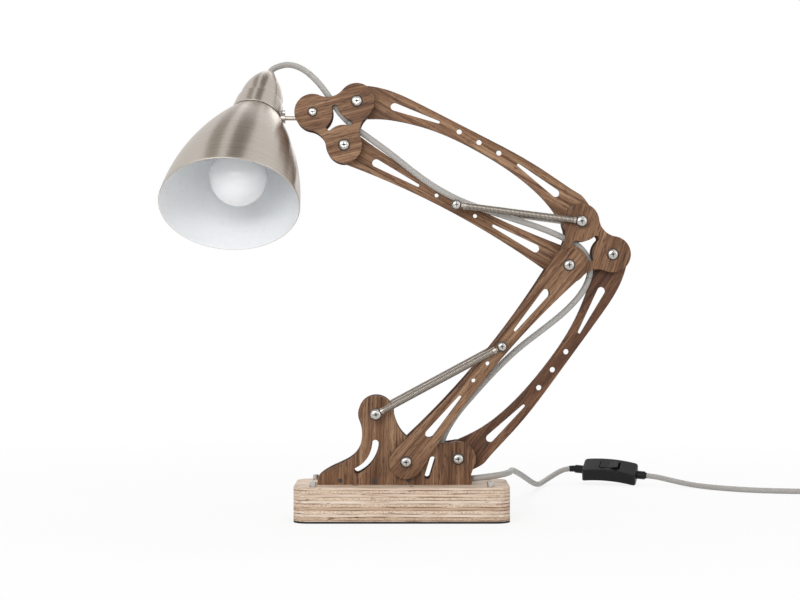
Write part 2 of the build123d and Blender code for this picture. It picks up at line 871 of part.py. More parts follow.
inner_top, inner_mouth = bell_top_radius - shell_thickness, bell_mouth_radius - shell_thickness
with BuildPart() as shade_bell:
    with BuildSketch(shade_profile):
        with BuildLine():
            Line((holder_radius + loose_fit, 0), (bell_top_radius, 0))
            Bezier((bell_top_radius, 0), (bell_mouth_radius, bell_reach / 2), (bell_mouth_radius, bell_reach))
            Line((bell_mouth_radius, bell_reach), (inner_mouth, bell_reach))
            Bezier((inner_mouth, bell_reach), (inner_mouth, bell_reach / 2), (inner_top, shell_thickness))
            Polyline(
                (inner_top, shell_thickness),
                (holder_radius + loose_fit, shell_thickness),
                (holder_radius + loose_fit, 0),
            )
        make_face()
    revolve(axis=shade_line)
    split(bisect_by=Plane(origin=neck_foot + shade_axis * bell_depth, z_dir=mouth_way), keep=Keep.BOTTOM)
    with BuildSketch(Plane.YZ.offset(neck_x)):
        with Locations((0, rod_height)):
            Circle(rod_radius + loose_fit)
    extrude(amount=bell_mouth_radius, mode=Mode.SUBTRACT)
finish(shade_bell, "shade_bell")

neck_screw_plane = Plane(
    origin=neck_foot - shade_axis * neck_screw_place + shade_side * neck_screw_seat, z_dir=shade_side
)
with BuildPart() as shade_neck:
    wall = shell_thickness
    outer = [
        (neck_skirt_radius, neck_skirt),
        (neck_step_radius + neck_ledge, -neck_step),
        (neck_step_radius - neck_ledge_inset, -neck_step - neck_ledge),
        (neck_top_radius, -neck_height),
    ]
    inner = [(x - wall, y + wall) for x, y in outer]
    skirt_bow = (neck_step_radius + neck_skirt_bow, -neck_step / 2)
    dome_bow = (neck_step_radius - neck_dome_bow, -neck_step - neck_dome_middle)
    skirt_foot = (neck_skirt_radius - wall, neck_skirt)
    with BuildSketch(shade_profile):
        with BuildLine():
            ThreePointArc(outer[0], skirt_bow, outer[1])
            Line(outer[1], outer[2])
            ThreePointArc(outer[2], dome_bow, outer[3])
            Polyline(outer[3], (grommet_radius, -neck_height), (grommet_radius, wall - neck_height), inner[3])
            ThreePointArc(inner[3], (dome_bow[0] - wall, dome_bow[1] + wall), inner[2])
            Line(inner[2], inner[1])
            ThreePointArc(inner[1], (skirt_bow[0] - wall, skirt_bow[1] + wall), skirt_foot)
            Line(skirt_foot, outer[0])
        make_face()
    revolve(axis=shade_line)
    with BuildSketch(neck_screw_plane):
        Circle(neck_screw_radius + running_fit)
    extrude(amount=neck_skirt_radius / 2, both=True, mode=Mode.SUBTRACT)
    with BuildSketch(Plane.YZ.offset(neck_x + bell_top_radius / 2)):
        with Locations((0, rod_height)):
            Circle(knuckle_radius + running_fit)
    extrude(amount=knuckle_face - neck_x - bell_top_radius / 2, mode=Mode.SUBTRACT)
finish(shade_neck, "shade_neck")

with BuildPart() as neck_screw:
    with BuildSketch(neck_screw_plane):
        Circle(neck_screw_head)
    extrude(amount=neck_screw_head_height)
    with BuildSketch(neck_screw_plane):
        Circle(neck_screw_radius)
    extrude(amount=holder_radius + running_fit - neck_screw_seat)
finish(neck_screw, "neck_screw")

# Knuckle on the bell's side, in which the rod turns
with BuildPart() as knuckle:
    with BuildSketch(Plane.YZ.offset(neck_x + bell_top_radius / 2)):
        with Locations((0, rod_height)):
            Circle(knuckle_radius)
            Circle(rod_radius + running_fit, mode=Mode.SUBTRACT)
    extrude(amount=knuckle_face - neck_x - bell_top_radius / 2)
    add(bell_form.part, mode=Mode.SUBTRACT)
finish(knuckle, "knuckle")

# Lamp holder, bulb and cord grommet
with BuildPart() as lamp_holder:
    with BuildSketch(shade_profile):
        with BuildLine():
            Polyline(
                (cord_radius + running_fit, -holder_bottom),
                (holder_radius, -holder_bottom),
                (holder_radius, shell_thickness),
                (holder_flange, shell_thickness),
                (holder_flange, shell_thickness + holder_flange_thickness),
                (holder_radius, shell_thickness + holder_flange_thickness),
                (holder_radius, holder_top),
                (holder_radius - holder_wall, holder_top),
                (holder_radius - holder_wall, bulb_seat - bulb_cap_length - holder_floor),
                (cord_radius + running_fit, bulb_seat - bulb_cap_length - holder_floor),
                close=True,
            )
        make_face()
    revolve(axis=shade_line)
finish(lamp_holder, "lamp_holder")

with BuildPart() as bulb_cap:
    with BuildSketch(shade_profile):
        with Locations(((bulb_neck_radius - bulb_cap_margin) / 2, bulb_seat - bulb_cap_length / 2)):
            Rectangle(bulb_neck_radius - bulb_cap_margin, bulb_cap_length)
    revolve(axis=shade_line)
finish(bulb_cap, "bulb_cap")

shoulder_angle = math.radians(bulb_shoulder)
bulb_neck_top = (bulb_neck_radius, holder_top + bulb_neck_rise)
shoulder = (bulb_radius * math.cos(shoulder_angle), bulb_centre - bulb_radius * math.sin(shoulder_angle))
bulb_tangent = (math.sin(shoulder_angle), math.cos(shoulder_angle))
with BuildPart() as bulb_glass:
    with BuildSketch(shade_profile):
        with BuildLine():
            Polyline((0, bulb_centre + bulb_radius), (0, bulb_seat), (bulb_neck_radius, bulb_seat))
            Line((bulb_neck_radius, bulb_seat), bulb_neck_top)
            Spline(bulb_neck_top, shoulder, tangents=((0, 1), bulb_tangent))
            ThreePointArc(shoulder, (bulb_radius, bulb_centre), (0, bulb_centre + bulb_radius))
        make_face()
    revolve(axis=shade_line)
    offset(amount=-bulb_wall, openings=bulb_glass.faces().filter_by(GeomType.PLANE))
finish(bulb_glass, "bulb_glass")

with BuildPart() as cord_grommet:
    with BuildSketch(shade_profile):
        with BuildLine():
            Polyline(
                (cord_radius + running_fit, -neck_height - grommet_length / 2),
                (grommet_radius + grommet_lip, -neck_height - grommet_length / 3),
                (grommet_radius + grommet_lip, -neck_height),
                (grommet_radius - running_fit, -neck_height),
                (grommet_radius - running_fit, grommet_length / 2 - neck_height),
                (cord_radius + running_fit, grommet_length / 2 - neck_height),
                close=True,
            )
        make_face()
    revolve(axis=shade_line)
finish(cord_grommet, "cord_grommet")


# Cord: straight runs joined by the largest arcs that they allow
def corner_radii(points):
    """Radius at each inner point of a route, as large as the two runs beside it allow."""
    radii = []
    for before, here, after in zip(points, points[1:], points[2:]):
        one, two = here - before, after - here
        turn = math.radians(one.get_angle(two))
        radii.append(cord_corner_share * min(one.length, two.length) / math.tan(turn / 2))
    return radii


def cord_tube(label, points, radii):
    """Round cord along a route of points, with its least radius and its volume printed."""
    with BuildPart() as tube:
        with BuildLine() as path:
            FilletPolyline(*points, radius=radii)
        with BuildSketch(Plane(origin=points[0], z_dir=points[1] - points[0])):
            Circle(cord_radius)
        sweep(path=path.line)
    length = sum(edge.length for edge in path.edges())
    share = tube.part.volume / (math.pi * cord_radius**2 * length)
    print(label, "length", round(length), "least radius", round(min(radii), 1), "share", round(share, 4))
    finish(tube, label)


def between(points, start, end):
    """Stretch of a route between the middles of two runs; a run is named by its first point."""
    first = (points[start] + points[start + 1]) / 2
    last = (points[end] + points[end + 1]) / 2
    return [first, *points[start + 1 : end + 1], last]


arm_route = [
    (72.5, 41.5), (60, 39.6), (48.5, 44.5), (41, 54.5), (39, 68.5), (43.5, 87), (57, 109), (77, 132),
    (98, 155), (121, 177), (147, 196.5), (172, 216.5), (190.5, 238), (197, 260), (188, 280), (168, 291),
    (142, 302), (114, 311), (88, 319.5), (62, 328.5), (37, 341.5), (14, 357.5), (-8, 375.5), (-29, 391),
    (-49, 405), (-64, 419), (-75, 437),
]
arch_route = [(-88, 5, 455), (-103, 21, 469.5), (-119, 37, 477), (-131.5, 44.5, 475.5)]
cap_exit = neck_foot - shade_axis * (neck_height + grommet_length / 2)
route = [Vector(x, cord_y, z) for x, z in arm_route]
route += [Vector(*point) for point in arch_route]
route += [cap_exit - shade_axis * cap_lead, cap_exit + shade_axis * grommet_length]
stretches = {
    "cord_base": (0, 7),
    "cord_lower": (7, 12),
    "cord_elbow": (12, 17),
    "cord_upper": (17, 24),
    "cord_head": (24, 27),
    "cord_shade": (27, len(route) - 2),
}
radii = corner_radii(route)
for name, (start, end) in stretches.items():
    points = between(route, start, end)
    if start == 0:
        points[0] = route[0]
    if end == len(route) - 2:
        points[-1] = route[-1]
    cord_tube(name, points, radii[start:end])

# Inline switch, bowed, one corner on the table, with a sleeve at each end
turn, pitch, roll = (math.radians(angle) for angle in (switch_turn, switch_pitch, switch_roll))
level_way = Vector(math.cos(turn), math.sin(turn), 0)
level_across = Vector(math.sin(turn), -math.cos(turn), 0)
switch_way = level_way * math.cos(pitch) - Vector(0, 0, math.sin(pitch))
level_up = level_across.cross(switch_way)
switch_up = level_up * math.cos(roll) + level_across * math.sin(roll)
switch_across = level_across * math.cos(roll) - level_up * math.sin(roll)
switch_lift = switch_length / 2 * math.sin(pitch) + switch_width / 2 * math.cos(pitch) * math.sin(roll)
switch_centre = Vector(switch_x, switch_y, switch_lift - switch_settle)
switch_side = Plane(origin=switch_centre, x_dir=switch_way, z_dir=switch_across)
switch_crown = switch_height + switch_bow
switch_top = Plane(origin=switch_centre + switch_up * switch_crown, x_dir=switch_way, z_dir=switch_up)
rocker_pivot = switch_top.origin - switch_up * rocker_pin_drop
cord_line = switch_centre + switch_up * entry_height
half_switch = switch_length / 2

with BuildPart() as switch_body:
    with BuildSketch(switch_side):
        with BuildLine():
            ThreePointArc((-half_switch, 0), (0, switch_bow), (half_switch, 0))
            Line((half_switch, 0), (half_switch, switch_height))
            ThreePointArc((half_switch, switch_height), (0, switch_crown), (-half_switch, switch_height))
            Line((-half_switch, switch_height), (-half_switch, 0))
        make_face()
    extrude(amount=switch_width / 2, both=True)
    upright = switch_body.edges().filter_by(Axis(switch_centre, switch_up))
    fillet(upright, switch_corner)
    crown_face = switch_body.faces().sort_by(Axis(switch_centre, switch_up))[-1]
    fillet(crown_face.edges(), switch_edge)
    for side in (-1, 1):
        root = cord_line + switch_way * (side * (half_switch - relief_length / 2))
        with BuildSketch(Plane(origin=root, z_dir=switch_way * side)):
            Circle(relief_radius)
        extrude(amount=1.5 * relief_length)
    for side in (-1, 1):
        tip = cord_line + switch_way * (side * (half_switch + relief_length))
        with BuildSketch(Plane(origin=tip, z_dir=switch_way * side)):
            Circle(cord_radius + running_fit)
        extrude(amount=-relief_length - cord_insert, mode=Mode.SUBTRACT)
    with BuildSketch(switch_top):
        Rectangle(rocker_length + 2 * pocket_margin, rocker_width + 2 * loose_fit)
    extrude(amount=-pocket_depth, mode=Mode.SUBTRACT)
    with BuildSketch(Plane(origin=rocker_pivot, z_dir=switch_across)):
        Circle(rocker_pin_radius + running_fit)
    extrude(amount=rocker_width / 2 + rocker_pin_reach + loose_fit, both=True, mode=Mode.SUBTRACT)
finish(switch_body, "switch_body")

rocker_way = switch_way.rotate(Axis((0, 0, 0), switch_across), rocker_tilt)
with BuildPart() as switch_rocker:
    with BuildSketch(Plane(origin=rocker_pivot, x_dir=rocker_way, z_dir=switch_across)):
        with BuildLine():
            Polyline(
                (-rocker_length / 2, rocker_top),
                (0, rocker_top - rocker_dip),
                (rocker_length / 2, rocker_top),
                (rocker_length / 2, rocker_shoulder),
                (rocker_length / 4, -rocker_depth),
                (-rocker_length / 4, -rocker_depth),
                (-rocker_length / 2, rocker_shoulder),
                close=True,
            )
        make_face()
    extrude(amount=rocker_width / 2, both=True)
    with BuildSketch(Plane(origin=rocker_pivot, z_dir=switch_across)):
        Circle(rocker_pin_radius)
    extrude(amount=rocker_width / 2 + rocker_pin_reach, both=True)
finish(switch_rocker, "switch_rocker")

# Mains cord: from the bracket over the end of the base to the switch
mains_route = [
    (72.5, cord_y, 41.5), (90, cord_y, 44.16), (106, 2, 46.3), (116.5, 22, 47), (123, 52, 46),
    (128, 88, 43.3), (132.5, 124, 38.5), (136.5, 158, 32), (140.5, 190, 24.5), (144.5, 222, 16.5),
    (149, 252, 8.8), (154.5, 282, 3.5), (161.8, 318.8, 3.6), (179.1, 338, 10.4),
]
switch_entry = [cord_line - switch_way * (half_switch + relief_length + straight_lead)]
switch_entry.append(cord_line - switch_way * (half_switch - cord_insert))
mains_points = [Vector(*point) for point in mains_route] + switch_entry
cord_tube("mains_cord", mains_points, corner_radii(mains_points))

# Second stretch, from the switch to the coil that holds the spare length, and the plug
coil_step = 2 * cord_radius + cord_gap
coil_middle = math.pi * coil_turns
coil_floor = cord_radius + coil_lift


def coil_point(angle):
    """Middle line of the coiled cord: in and out again, one layer higher after the turn back."""
    inward = coil_middle - abs(angle - coil_middle)
    radius = coil_outer - coil_step * inward / (2 * math.pi)
    climb = min(max((angle - coil_middle) / math.pi + 0.5, 0), 1)
    height = coil_floor + coil_step * (1 - math.cos(math.pi * climb)) / 2
    turned = math.radians(coil_entry) + angle
    return Vector(coil_x + radius * math.cos(turned), coil_y + radius * math.sin(turned), height)


def coil_way(angle):
    """Direction of the coiled cord."""
    return (coil_point(angle + 0.001) - coil_point(angle - 0.001)).normalized()


coil_end = 2 * coil_middle
coil_angles = [coil_end * i / round(4 * coil_turns) for i in range(round(4 * coil_turns) + 1)]
coil_start = coil_point(0) - coil_way(0) * 2 * cord_radius
plug_way = Vector(1, 0, 0).rotate(Axis.Z, plug_turn)
plug_entry = Vector(plug_x, plug_y, plug_height / 2)
plug_approach = plug_entry - plug_way * 2 * cord_radius

lead_route = [
    (327, 306, 7.4), (345, 292, 4.2), (361, 274, 3.3), (378, 256, 3.3), (398, 240, 3.3),
    (422, 228, 3.3), (450, 221.5, 3.3),
]
switch_exit = [cord_line + switch_way * (half_switch - cord_insert)]
switch_exit.append(cord_line + switch_way * (half_switch + relief_length + straight_lead))
coil_approach = [coil_start - coil_way(0) * coil_lead, coil_start]
lead_points = switch_exit + [Vector(*point) for point in lead_route] + coil_approach
cord_tube("lead_cord", lead_points, corner_radii(lead_points))

least_gap("cord_coil", coil_point, 0, coil_end, 2 * math.pi, cord_radius)
coil_points = [coil_point(angle) for angle in coil_angles] + [plug_approach]
coil_ways = [coil_way(angle) for angle in coil_angles] + [plug_way]
with BuildPart() as cord_coil:
    with BuildLine() as coil_path:
        Line(coil_start, coil_point(0))
        add(wound_path(coil_points, coil_ways))
        Line(plug_approach, plug_entry + plug_way * cord_insert)
    with BuildSketch(Plane(origin=coil_start, z_dir=coil_way(0))):
        Circle(cord_radius)
    sweep(path=coil_path.line)
coil_length = sum(edge.length for edge in coil_path.edges())
coil_share = cord_coil.part.volume / (math.pi * cord_radius**2 * coil_length)
print("cord_coil length", round(coil_length), "volume share", round(coil_share, 4))
finish(cord_coil, "cord_coil")

plug_plane = Plane(origin=(plug_x, plug_y, 0), x_dir=plug_way, z_dir=(0, 0, 1))
plug_outline = [(0, plug_neck_width / 2), (plug_neck_length, plug_neck_width / 2)]
plug_outline += [(plug_shoulder, plug_width / 2), (plug_length, plug_width / 2)]
plug_across = plug_way.cross(Vector(0, 0, 1))
plug_front = Plane(origin=plug_entry + plug_way * plug_length, x_dir=plug_across, z_dir=plug_way)
with BuildPart() as plug_body:
    with BuildSketch(plug_plane):
        with BuildLine():
            Polyline(*plug_outline, *[(x, -y) for x, y in reversed(plug_outline)], close=True)
        make_face()
    extrude(amount=plug_height)
    fillet(plug_body.edges().filter_by(Axis.Z), 2 * plug_edge)
    fillet(plug_body.faces().sort_by(Axis.Z)[-1].edges(), plug_edge)
    with BuildSketch(Plane(origin=plug_entry, z_dir=plug_way)):
        Circle(cord_radius + running_fit)
    extrude(amount=cord_insert, mode=Mode.SUBTRACT)
    with BuildSketch(plug_front):
        with GridLocations(pin_pitch, 1, 2, 1):
            Circle(pin_radius + running_fit)
    extrude(amount=-pin_seat, mode=Mode.SUBTRACT)
finish(plug_body, "plug_body")

with BuildPart() as plug_pins:
    with BuildSketch(plug_front.offset(-pin_seat)):
        with GridLocations(pin_pitch, 1, 2, 1):
            Circle(pin_radius)
    extrude(amount=pin_seat + pin_length)
    fillet(plug_pins.edges().group_by(Axis(plug_entry, plug_way))[-1], pin_radius / 2)
finish(plug_pins, "plug_pins")
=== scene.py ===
# %% [markdown]
# # A sprung wooden desk lamp, dressed piece by piece
# The solids of this lamp were drawn in CAD and packed into one frame. Blender never moves those solids: it
# gives each one the finish of its real material, and where CAD can only hint at a form (a wound spring, a
# cord, a spun shade) it puts a fuller mesh in that solid's place. We load the frame first. The finished
# picture may not grow out of it.

# %% Load the imported model
import math

import bpy
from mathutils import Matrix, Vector


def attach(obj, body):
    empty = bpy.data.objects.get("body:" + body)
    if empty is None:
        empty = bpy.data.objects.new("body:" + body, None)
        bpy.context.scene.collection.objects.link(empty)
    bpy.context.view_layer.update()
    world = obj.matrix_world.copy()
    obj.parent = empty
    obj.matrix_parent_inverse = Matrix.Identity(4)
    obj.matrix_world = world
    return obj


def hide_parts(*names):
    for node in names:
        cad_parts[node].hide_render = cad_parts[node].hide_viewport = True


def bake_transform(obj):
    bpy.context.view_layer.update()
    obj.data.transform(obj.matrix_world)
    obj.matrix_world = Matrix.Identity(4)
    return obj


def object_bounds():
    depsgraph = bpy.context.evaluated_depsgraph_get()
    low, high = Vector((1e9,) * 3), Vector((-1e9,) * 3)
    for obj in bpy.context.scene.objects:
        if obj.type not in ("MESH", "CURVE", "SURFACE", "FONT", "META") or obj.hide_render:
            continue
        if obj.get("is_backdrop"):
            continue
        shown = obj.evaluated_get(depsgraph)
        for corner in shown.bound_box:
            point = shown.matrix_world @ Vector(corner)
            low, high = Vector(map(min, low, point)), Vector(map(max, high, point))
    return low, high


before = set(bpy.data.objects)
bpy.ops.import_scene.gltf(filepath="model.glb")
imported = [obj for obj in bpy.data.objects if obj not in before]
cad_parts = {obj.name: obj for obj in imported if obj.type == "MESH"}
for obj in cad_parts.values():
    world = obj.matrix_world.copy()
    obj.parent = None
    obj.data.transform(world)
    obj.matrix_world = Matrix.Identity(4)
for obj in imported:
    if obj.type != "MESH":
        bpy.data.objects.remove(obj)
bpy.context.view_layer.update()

MM = 0.001

# %% [markdown]
# ## Camera
# The photograph was taken level, from about 1.8 m, a little above the elbow's lower half. A camera with no
# shift keeps the verticals upright, and its lens follows from the size of the base in the picture.

# %% Camera
camera = bpy.data.objects.new("camera", bpy.data.cameras.new("camera"))
bpy.context.scene.collection.objects.link(camera)
camera.location = (-0.0018, -1.8, 0.2265)
camera.rotation_euler = (math.radians(90), 0, 0)
camera.data.sensor_fit = "HORIZONTAL"
camera.data.sensor_width = 36
camera.data.lens = 77.9
bpy.context.scene.camera = camera
print("camera at", [round(x, 3) for x in camera.location])

# %% [markdown]
# ## Colours and nodes
# Colours are written as the sRGB hex values that a painter would pick from a screen. Shaders count in linear
# light, so one function turns the first into the second. A second function adds a shader node, sets it and
# links it, so that each material below reads as a list of nodes.


# %% Two small helpers for materials
def linear(hex_colour):
    """Linear colour with full alpha from an sRGB hex value."""
    parts = [int(hex_colour[i : i + 2], 16) / 255 for i in (1, 3, 5)]
    return [p / 12.92 if p <= 0.04045 else ((p + 0.055) / 1.055) ** 2.4 for p in parts] + [1.0]


def add_node(material, kind, settings=(), links=()):
    """Adds a node: kind is its type after the word ShaderNode, settings are properties, sockets or a ramp's
    stops, links are {input: (node, output)}."""
    node = material.node_tree.nodes.new("ShaderNode" + kind)
    for name, value in dict(settings).items():
        if name == "stops":
            while len(node.color_ramp.elements) < len(value):
                node.color_ramp.elements.new(1)
            for element, (position, colour) in zip(node.color_ramp.elements, value):
                element.position = position
                element.color = linear(colour)
        elif isinstance(name, str) and hasattr(node, name):
            setattr(node, name, value)
        else:
            node.inputs[name].default_value = value
    for name, (source, output) in dict(links).items():
        material.node_tree.links.new(source.outputs[output], node.inputs[name])
    return node


def new_material(name):
    """Empty node material."""
    material = bpy.data.materials.new(name)
    material.use_nodes = True
    material.node_tree.nodes.clear()
    return material


print("orange in linear light", [round(c, 3) for c in linear("#FF8000")])

# %% [markdown]
# ## The cord's line
# The grey cord leaves the cap of the shade in an arch, dips between the head plates, follows the arm down to
# the base and runs on over the table to an inline switch. A cord is springy, so its line is a NURBS spline of
# order 3 with the route's points as control points: it rounds every corner by itself. The points are the ones
# of the CAD solids; behind the base some are moved by about a centimetre, so that the line falls more softly.
# The order is set after the points are added, because set before it is lost.


# %% Spline helper
def nurbs_curve(name, points):
    """Curve object with one open NURBS spline of order 3 through to its end points, in metres."""
    data = bpy.data.curves.new(name, "CURVE")
    data.dimensions = "3D"
    data.resolution_u = 8
    spline = data.splines.new("NURBS")
    spline.points.add(len(points) - 1)
    for point, place in zip(spline.points, points):
        point.co = (*place, 1)
    spline.order_u = 3
    spline.use_endpoint_u = True
    curve = bpy.data.objects.new(name, data)
    bpy.context.scene.collection.objects.link(curve)
    return curve


def points_on(curve):
    """Points along a curve that has no bevel yet."""
    bpy.context.view_layer.update()
    mesh = bpy.data.meshes.new_from_object(curve.evaluated_get(bpy.context.evaluated_depsgraph_get()))
    points = [vertex.co.copy() for vertex in mesh.vertices]
    bpy.data.meshes.remove(mesh)
    return points


def length_of(points):
    """Length of a line of points."""
    return sum((b - a).length for a, b in zip(points, points[1:]))


# %% Route of the cord inside the arm
CORD_RADIUS = 3.2 * MM
CORD_Y = -6.6
CORD_LIFT = 3.3
CAP_TOP = 55.5
shade_axis = Vector((-0.16160, -0.60757, -0.77766)).normalized()
neck_foot = Vector((-150.3, 5.295, 422.127))
cap_exit = neck_foot - shade_axis * CAP_TOP
arm_route = [
    (72.5, 41.5), (60, 39.6), (48.5, 44.5), (41, 54.5), (39, 68.5), (43.5, 87), (57, 109), (77, 132),
    (98, 155), (121, 177), (147, 196.5), (172, 216.5), (190.5, 238), (197, 260), (188, 280), (168, 291),
    (142, 302), (114, 311), (88, 319.5), (62, 328.5), (37, 341.5), (14, 357.5), (-8, 375.5), (-29, 391),
    (-49, 405), (-64, 419), (-75, 437),
]
arch_route = [(-88, 5, 455), (-103, 21, 469.5), (-119, 37, 477), (-131.5, 44.5, 475.5)]
inner_route = [Vector((x, CORD_Y, z)) for x, z in arm_route] + [Vector(p) for p in arch_route]
inner_route += [cap_exit - shade_axis * 7, cap_exit + shade_axis * 5]
inner_curve = nurbs_curve("inner_cord_line", [p * MM for p in inner_route])
inner_points = points_on(inner_curve)
bpy.data.objects.remove(inner_curve)
print("inner cord", round(length_of(inner_points), 3), "m,", len(inner_points), "points")

# %% Route of the mains cord, its coil and its plug
switch_way = Vector((0.95892, -0.27497, -0.06976))
cord_line = Vector((256.60, 329.97, 14.815))
mains_route = [
    (72.5, CORD_Y, 41.5), (90, CORD_Y, 43.6), (105, 1.4, 45), (113.6, 21, 45.2), (117, 51, 44),
    (120.5, 88, 41), (125.5, 124, 36.6), (132, 158, 30.8), (140, 190, 24), (148.5, 222, 16.2), (157, 252, 9),
    (164.2, 280, 4.8), (171, 306, 4.4), (184, 330, 9.4),
]
lead_route = [
    (327, 306, 7.4), (345, 292, 4.2), (361, 274, CORD_LIFT), (378, 256, CORD_LIFT), (398, 240, CORD_LIFT),
    (422, 228, CORD_LIFT), (450, 221.5, CORD_LIFT),
]
COIL_CENTRE = Vector((528, 246, 0))
COIL_OUTER = 43
COIL_STEP = 6.9
COIL_MIDDLE = math.pi * 5.25
COIL_START = math.radians(-112)
POINTS_PER_TURN = 16


def coil_point(angle):
    """Point of the spare cord: wound inwards, one layer up, and outwards again."""
    inward = COIL_MIDDLE - abs(angle - COIL_MIDDLE)
    radius = COIL_OUTER - COIL_STEP * inward / (2 * math.pi)
    climb = min(max((angle - COIL_MIDDLE) / math.pi + 0.5, 0), 1)
    height = CORD_LIFT + COIL_STEP * (1 - math.cos(math.pi * climb)) / 2
    turned = COIL_START + angle
    return COIL_CENTRE + Vector((radius * math.cos(turned), radius * math.sin(turned), height))


coil_count = round(2 * COIL_MIDDLE / (2 * math.pi) * POINTS_PER_TURN)
coil_route = [coil_point(2 * COIL_MIDDLE * i / coil_count) for i in range(coil_count + 1)]
coil_entry_way = (coil_point(0.001) - coil_point(-0.001)).normalized()
plug_entry = Vector((581, 279, 6.5))
plug_way = Vector((math.cos(math.radians(80)), math.sin(math.radians(80)), 0))
mains_points = [Vector(p) for p in mains_route]
mains_points += [cord_line + switch_way * reach for reach in (-55, -29, 29, 55)]
mains_points += [Vector(p) for p in lead_route]
mains_points += [coil_route[0] - coil_entry_way * reach for reach in (34.4, 6.4)]
mains_points += coil_route
mains_points += [plug_entry - plug_way * 22, plug_entry - plug_way * 6.4, plug_entry + plug_way * 4]
mains_curve = nurbs_curve("mains_cord_line", [p * MM for p in mains_points])
mains_line = points_on(mains_curve)
bpy.data.objects.remove(mains_curve)
print("mains cord", round(length_of(mains_line), 3), "m")

# %% [markdown]
# ## Studio
# The lamp stands on a plain white table in soft light. The floor and the world are white where the camera,
# a reflection or glass looks at them. Close to the lamp the floor keeps a share of its own shading, so that
# the shadow stays; further out it glows fully and runs into the background without a line.


# %% Floor
def seen_rays(material):
    """Node that is 1 for rays from the camera, from a reflection and through glass, and 0 for the rest."""
    rays = add_node(material, "LightPath")
    straight = add_node(
        material, "Math", {"operation": "ADD"},
        {0: (rays, "Is Camera Ray"), 1: (rays, "Is Glossy Ray")},
    )
    return add_node(
        material, "Math", {"operation": "ADD", "use_clamp": True},
        {0: (straight, 0), 1: (rays, "Is Transmission Ray")},
    )


floor_white = new_material("matt_white_table")
floor_place = add_node(floor_white, "TexCoord")
floor_far = add_node(
    floor_white, "VectorMath", {"operation": "LENGTH"}, {0: (floor_place, "Object")}
)
floor_share = add_node(
    floor_white, "MapRange", {"From Min": 0.3, "From Max": 1.1, "To Min": 0.82, "To Max": 1.0},
    {"Value": (floor_far, "Value")},
)
floor_glow_share = add_node(
    floor_white, "Math", {"operation": "MULTIPLY"},
    {0: (seen_rays(floor_white), 0), 1: (floor_share, 0)},
)
floor_matt = add_node(floor_white, "BsdfDiffuse", {"Color": linear("#F4F4F4")})
floor_glow = add_node(floor_white, "Emission", {"Color": (1, 1, 1, 1), "Strength": 1})
floor_mix = add_node(
    floor_white, "MixShader", (), {0: (floor_glow_share, 0), 1: (floor_matt, 0), 2: (floor_glow, 0)}
)
add_node(floor_white, "OutputMaterial", (), {"Surface": (floor_mix, 0)})


def stage_sheet(name, corners, material):
    """Flat sheet that belongs to the studio and not to the lamp."""
    mesh = bpy.data.meshes.new(name)
    mesh.from_pydata(corners, [], [(0, 1, 2, 3)])
    mesh.materials.append(material)
    sheet = bpy.data.objects.new(name, mesh)
    bpy.context.scene.collection.objects.link(sheet)
    sheet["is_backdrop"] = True
    return sheet


FLOOR_REACH, FLOOR_DROP = 25, 0.2 * MM
signs = ((-1, -1), (1, -1), (1, 1), (-1, 1))
stage_sheet("floor", [(x * FLOOR_REACH, y * FLOOR_REACH, -FLOOR_DROP) for x, y in signs], floor_white)
print("floor", 2 * FLOOR_REACH, "m wide")

# %% World
world = bpy.data.worlds.new("white_studio")
bpy.context.scene.world = world
world.use_nodes = True
world.node_tree.nodes.clear()
AMBIENT = 0.38
world_level = add_node(
    world, "MapRange", {"To Min": AMBIENT, "To Max": 1.0}, {"Value": (seen_rays(world), 0)}
)
world_back = add_node(world, "Background", {"Color": (1, 1, 1, 1)}, {"Strength": (world_level, 0)})
add_node(world, "OutputWorld", (), {"Surface": (world_back, 0)})
print("ambient light", AMBIENT)

# %% [markdown]
# ## Lights and dark cards
# Soft area lamps give a level at which a colour renders about as it is written; a small one adds a spark on
# the bulb and the screws. Bare metal shows only what stands round it, and in an all-white room it would turn
# white. A photographer hangs dark cards over a metal shade for that reason: they give it the grey bands that
# show its roundness. The two cards here are seen by reflections alone, and the white gap between them draws
# the bright streak down the shade. The lamp above them is hidden from reflections, so that it doesn't burn
# that streak out.

# %% Lights
AIM = Vector((0.0, 0, 0.25))
for lamp_name, place, size, watts in (
    ("softbox_left", (-1.8, -1.7, 1.4), (2.0, 1.8), 12),
    ("softbox_right", (1.9, -1.5, 1.0), (1.6, 1.4), 8),
    ("softbox_front", (-0.45, -2.1, 1.0), (1.4, 0.8), 17),
    ("softbox_top", (-0.1, 0.1, 2.4), (2.2, 2.0), 22),
    ("softbox_back", (0.3, 2.2, 1.4), (1.6, 1.4), 10),
    ("small_spot", (-1.0, -1.85, 0.75), (0.13, 0.13), 0.9),
):
    light = bpy.data.lights.new(lamp_name, "AREA")
    light.shape = "RECTANGLE"
    light.size, light.size_y = size
    light.energy = watts
    lamp = bpy.data.objects.new(lamp_name, light)
    lamp.location = place
    lamp.rotation_euler = (AIM - Vector(place)).to_track_quat("-Z", "Y").to_euler()
    lamp.visible_glossy = lamp_name != "softbox_top"
    bpy.context.scene.collection.objects.link(lamp)
bpy.context.scene.view_settings.view_transform = "Standard"

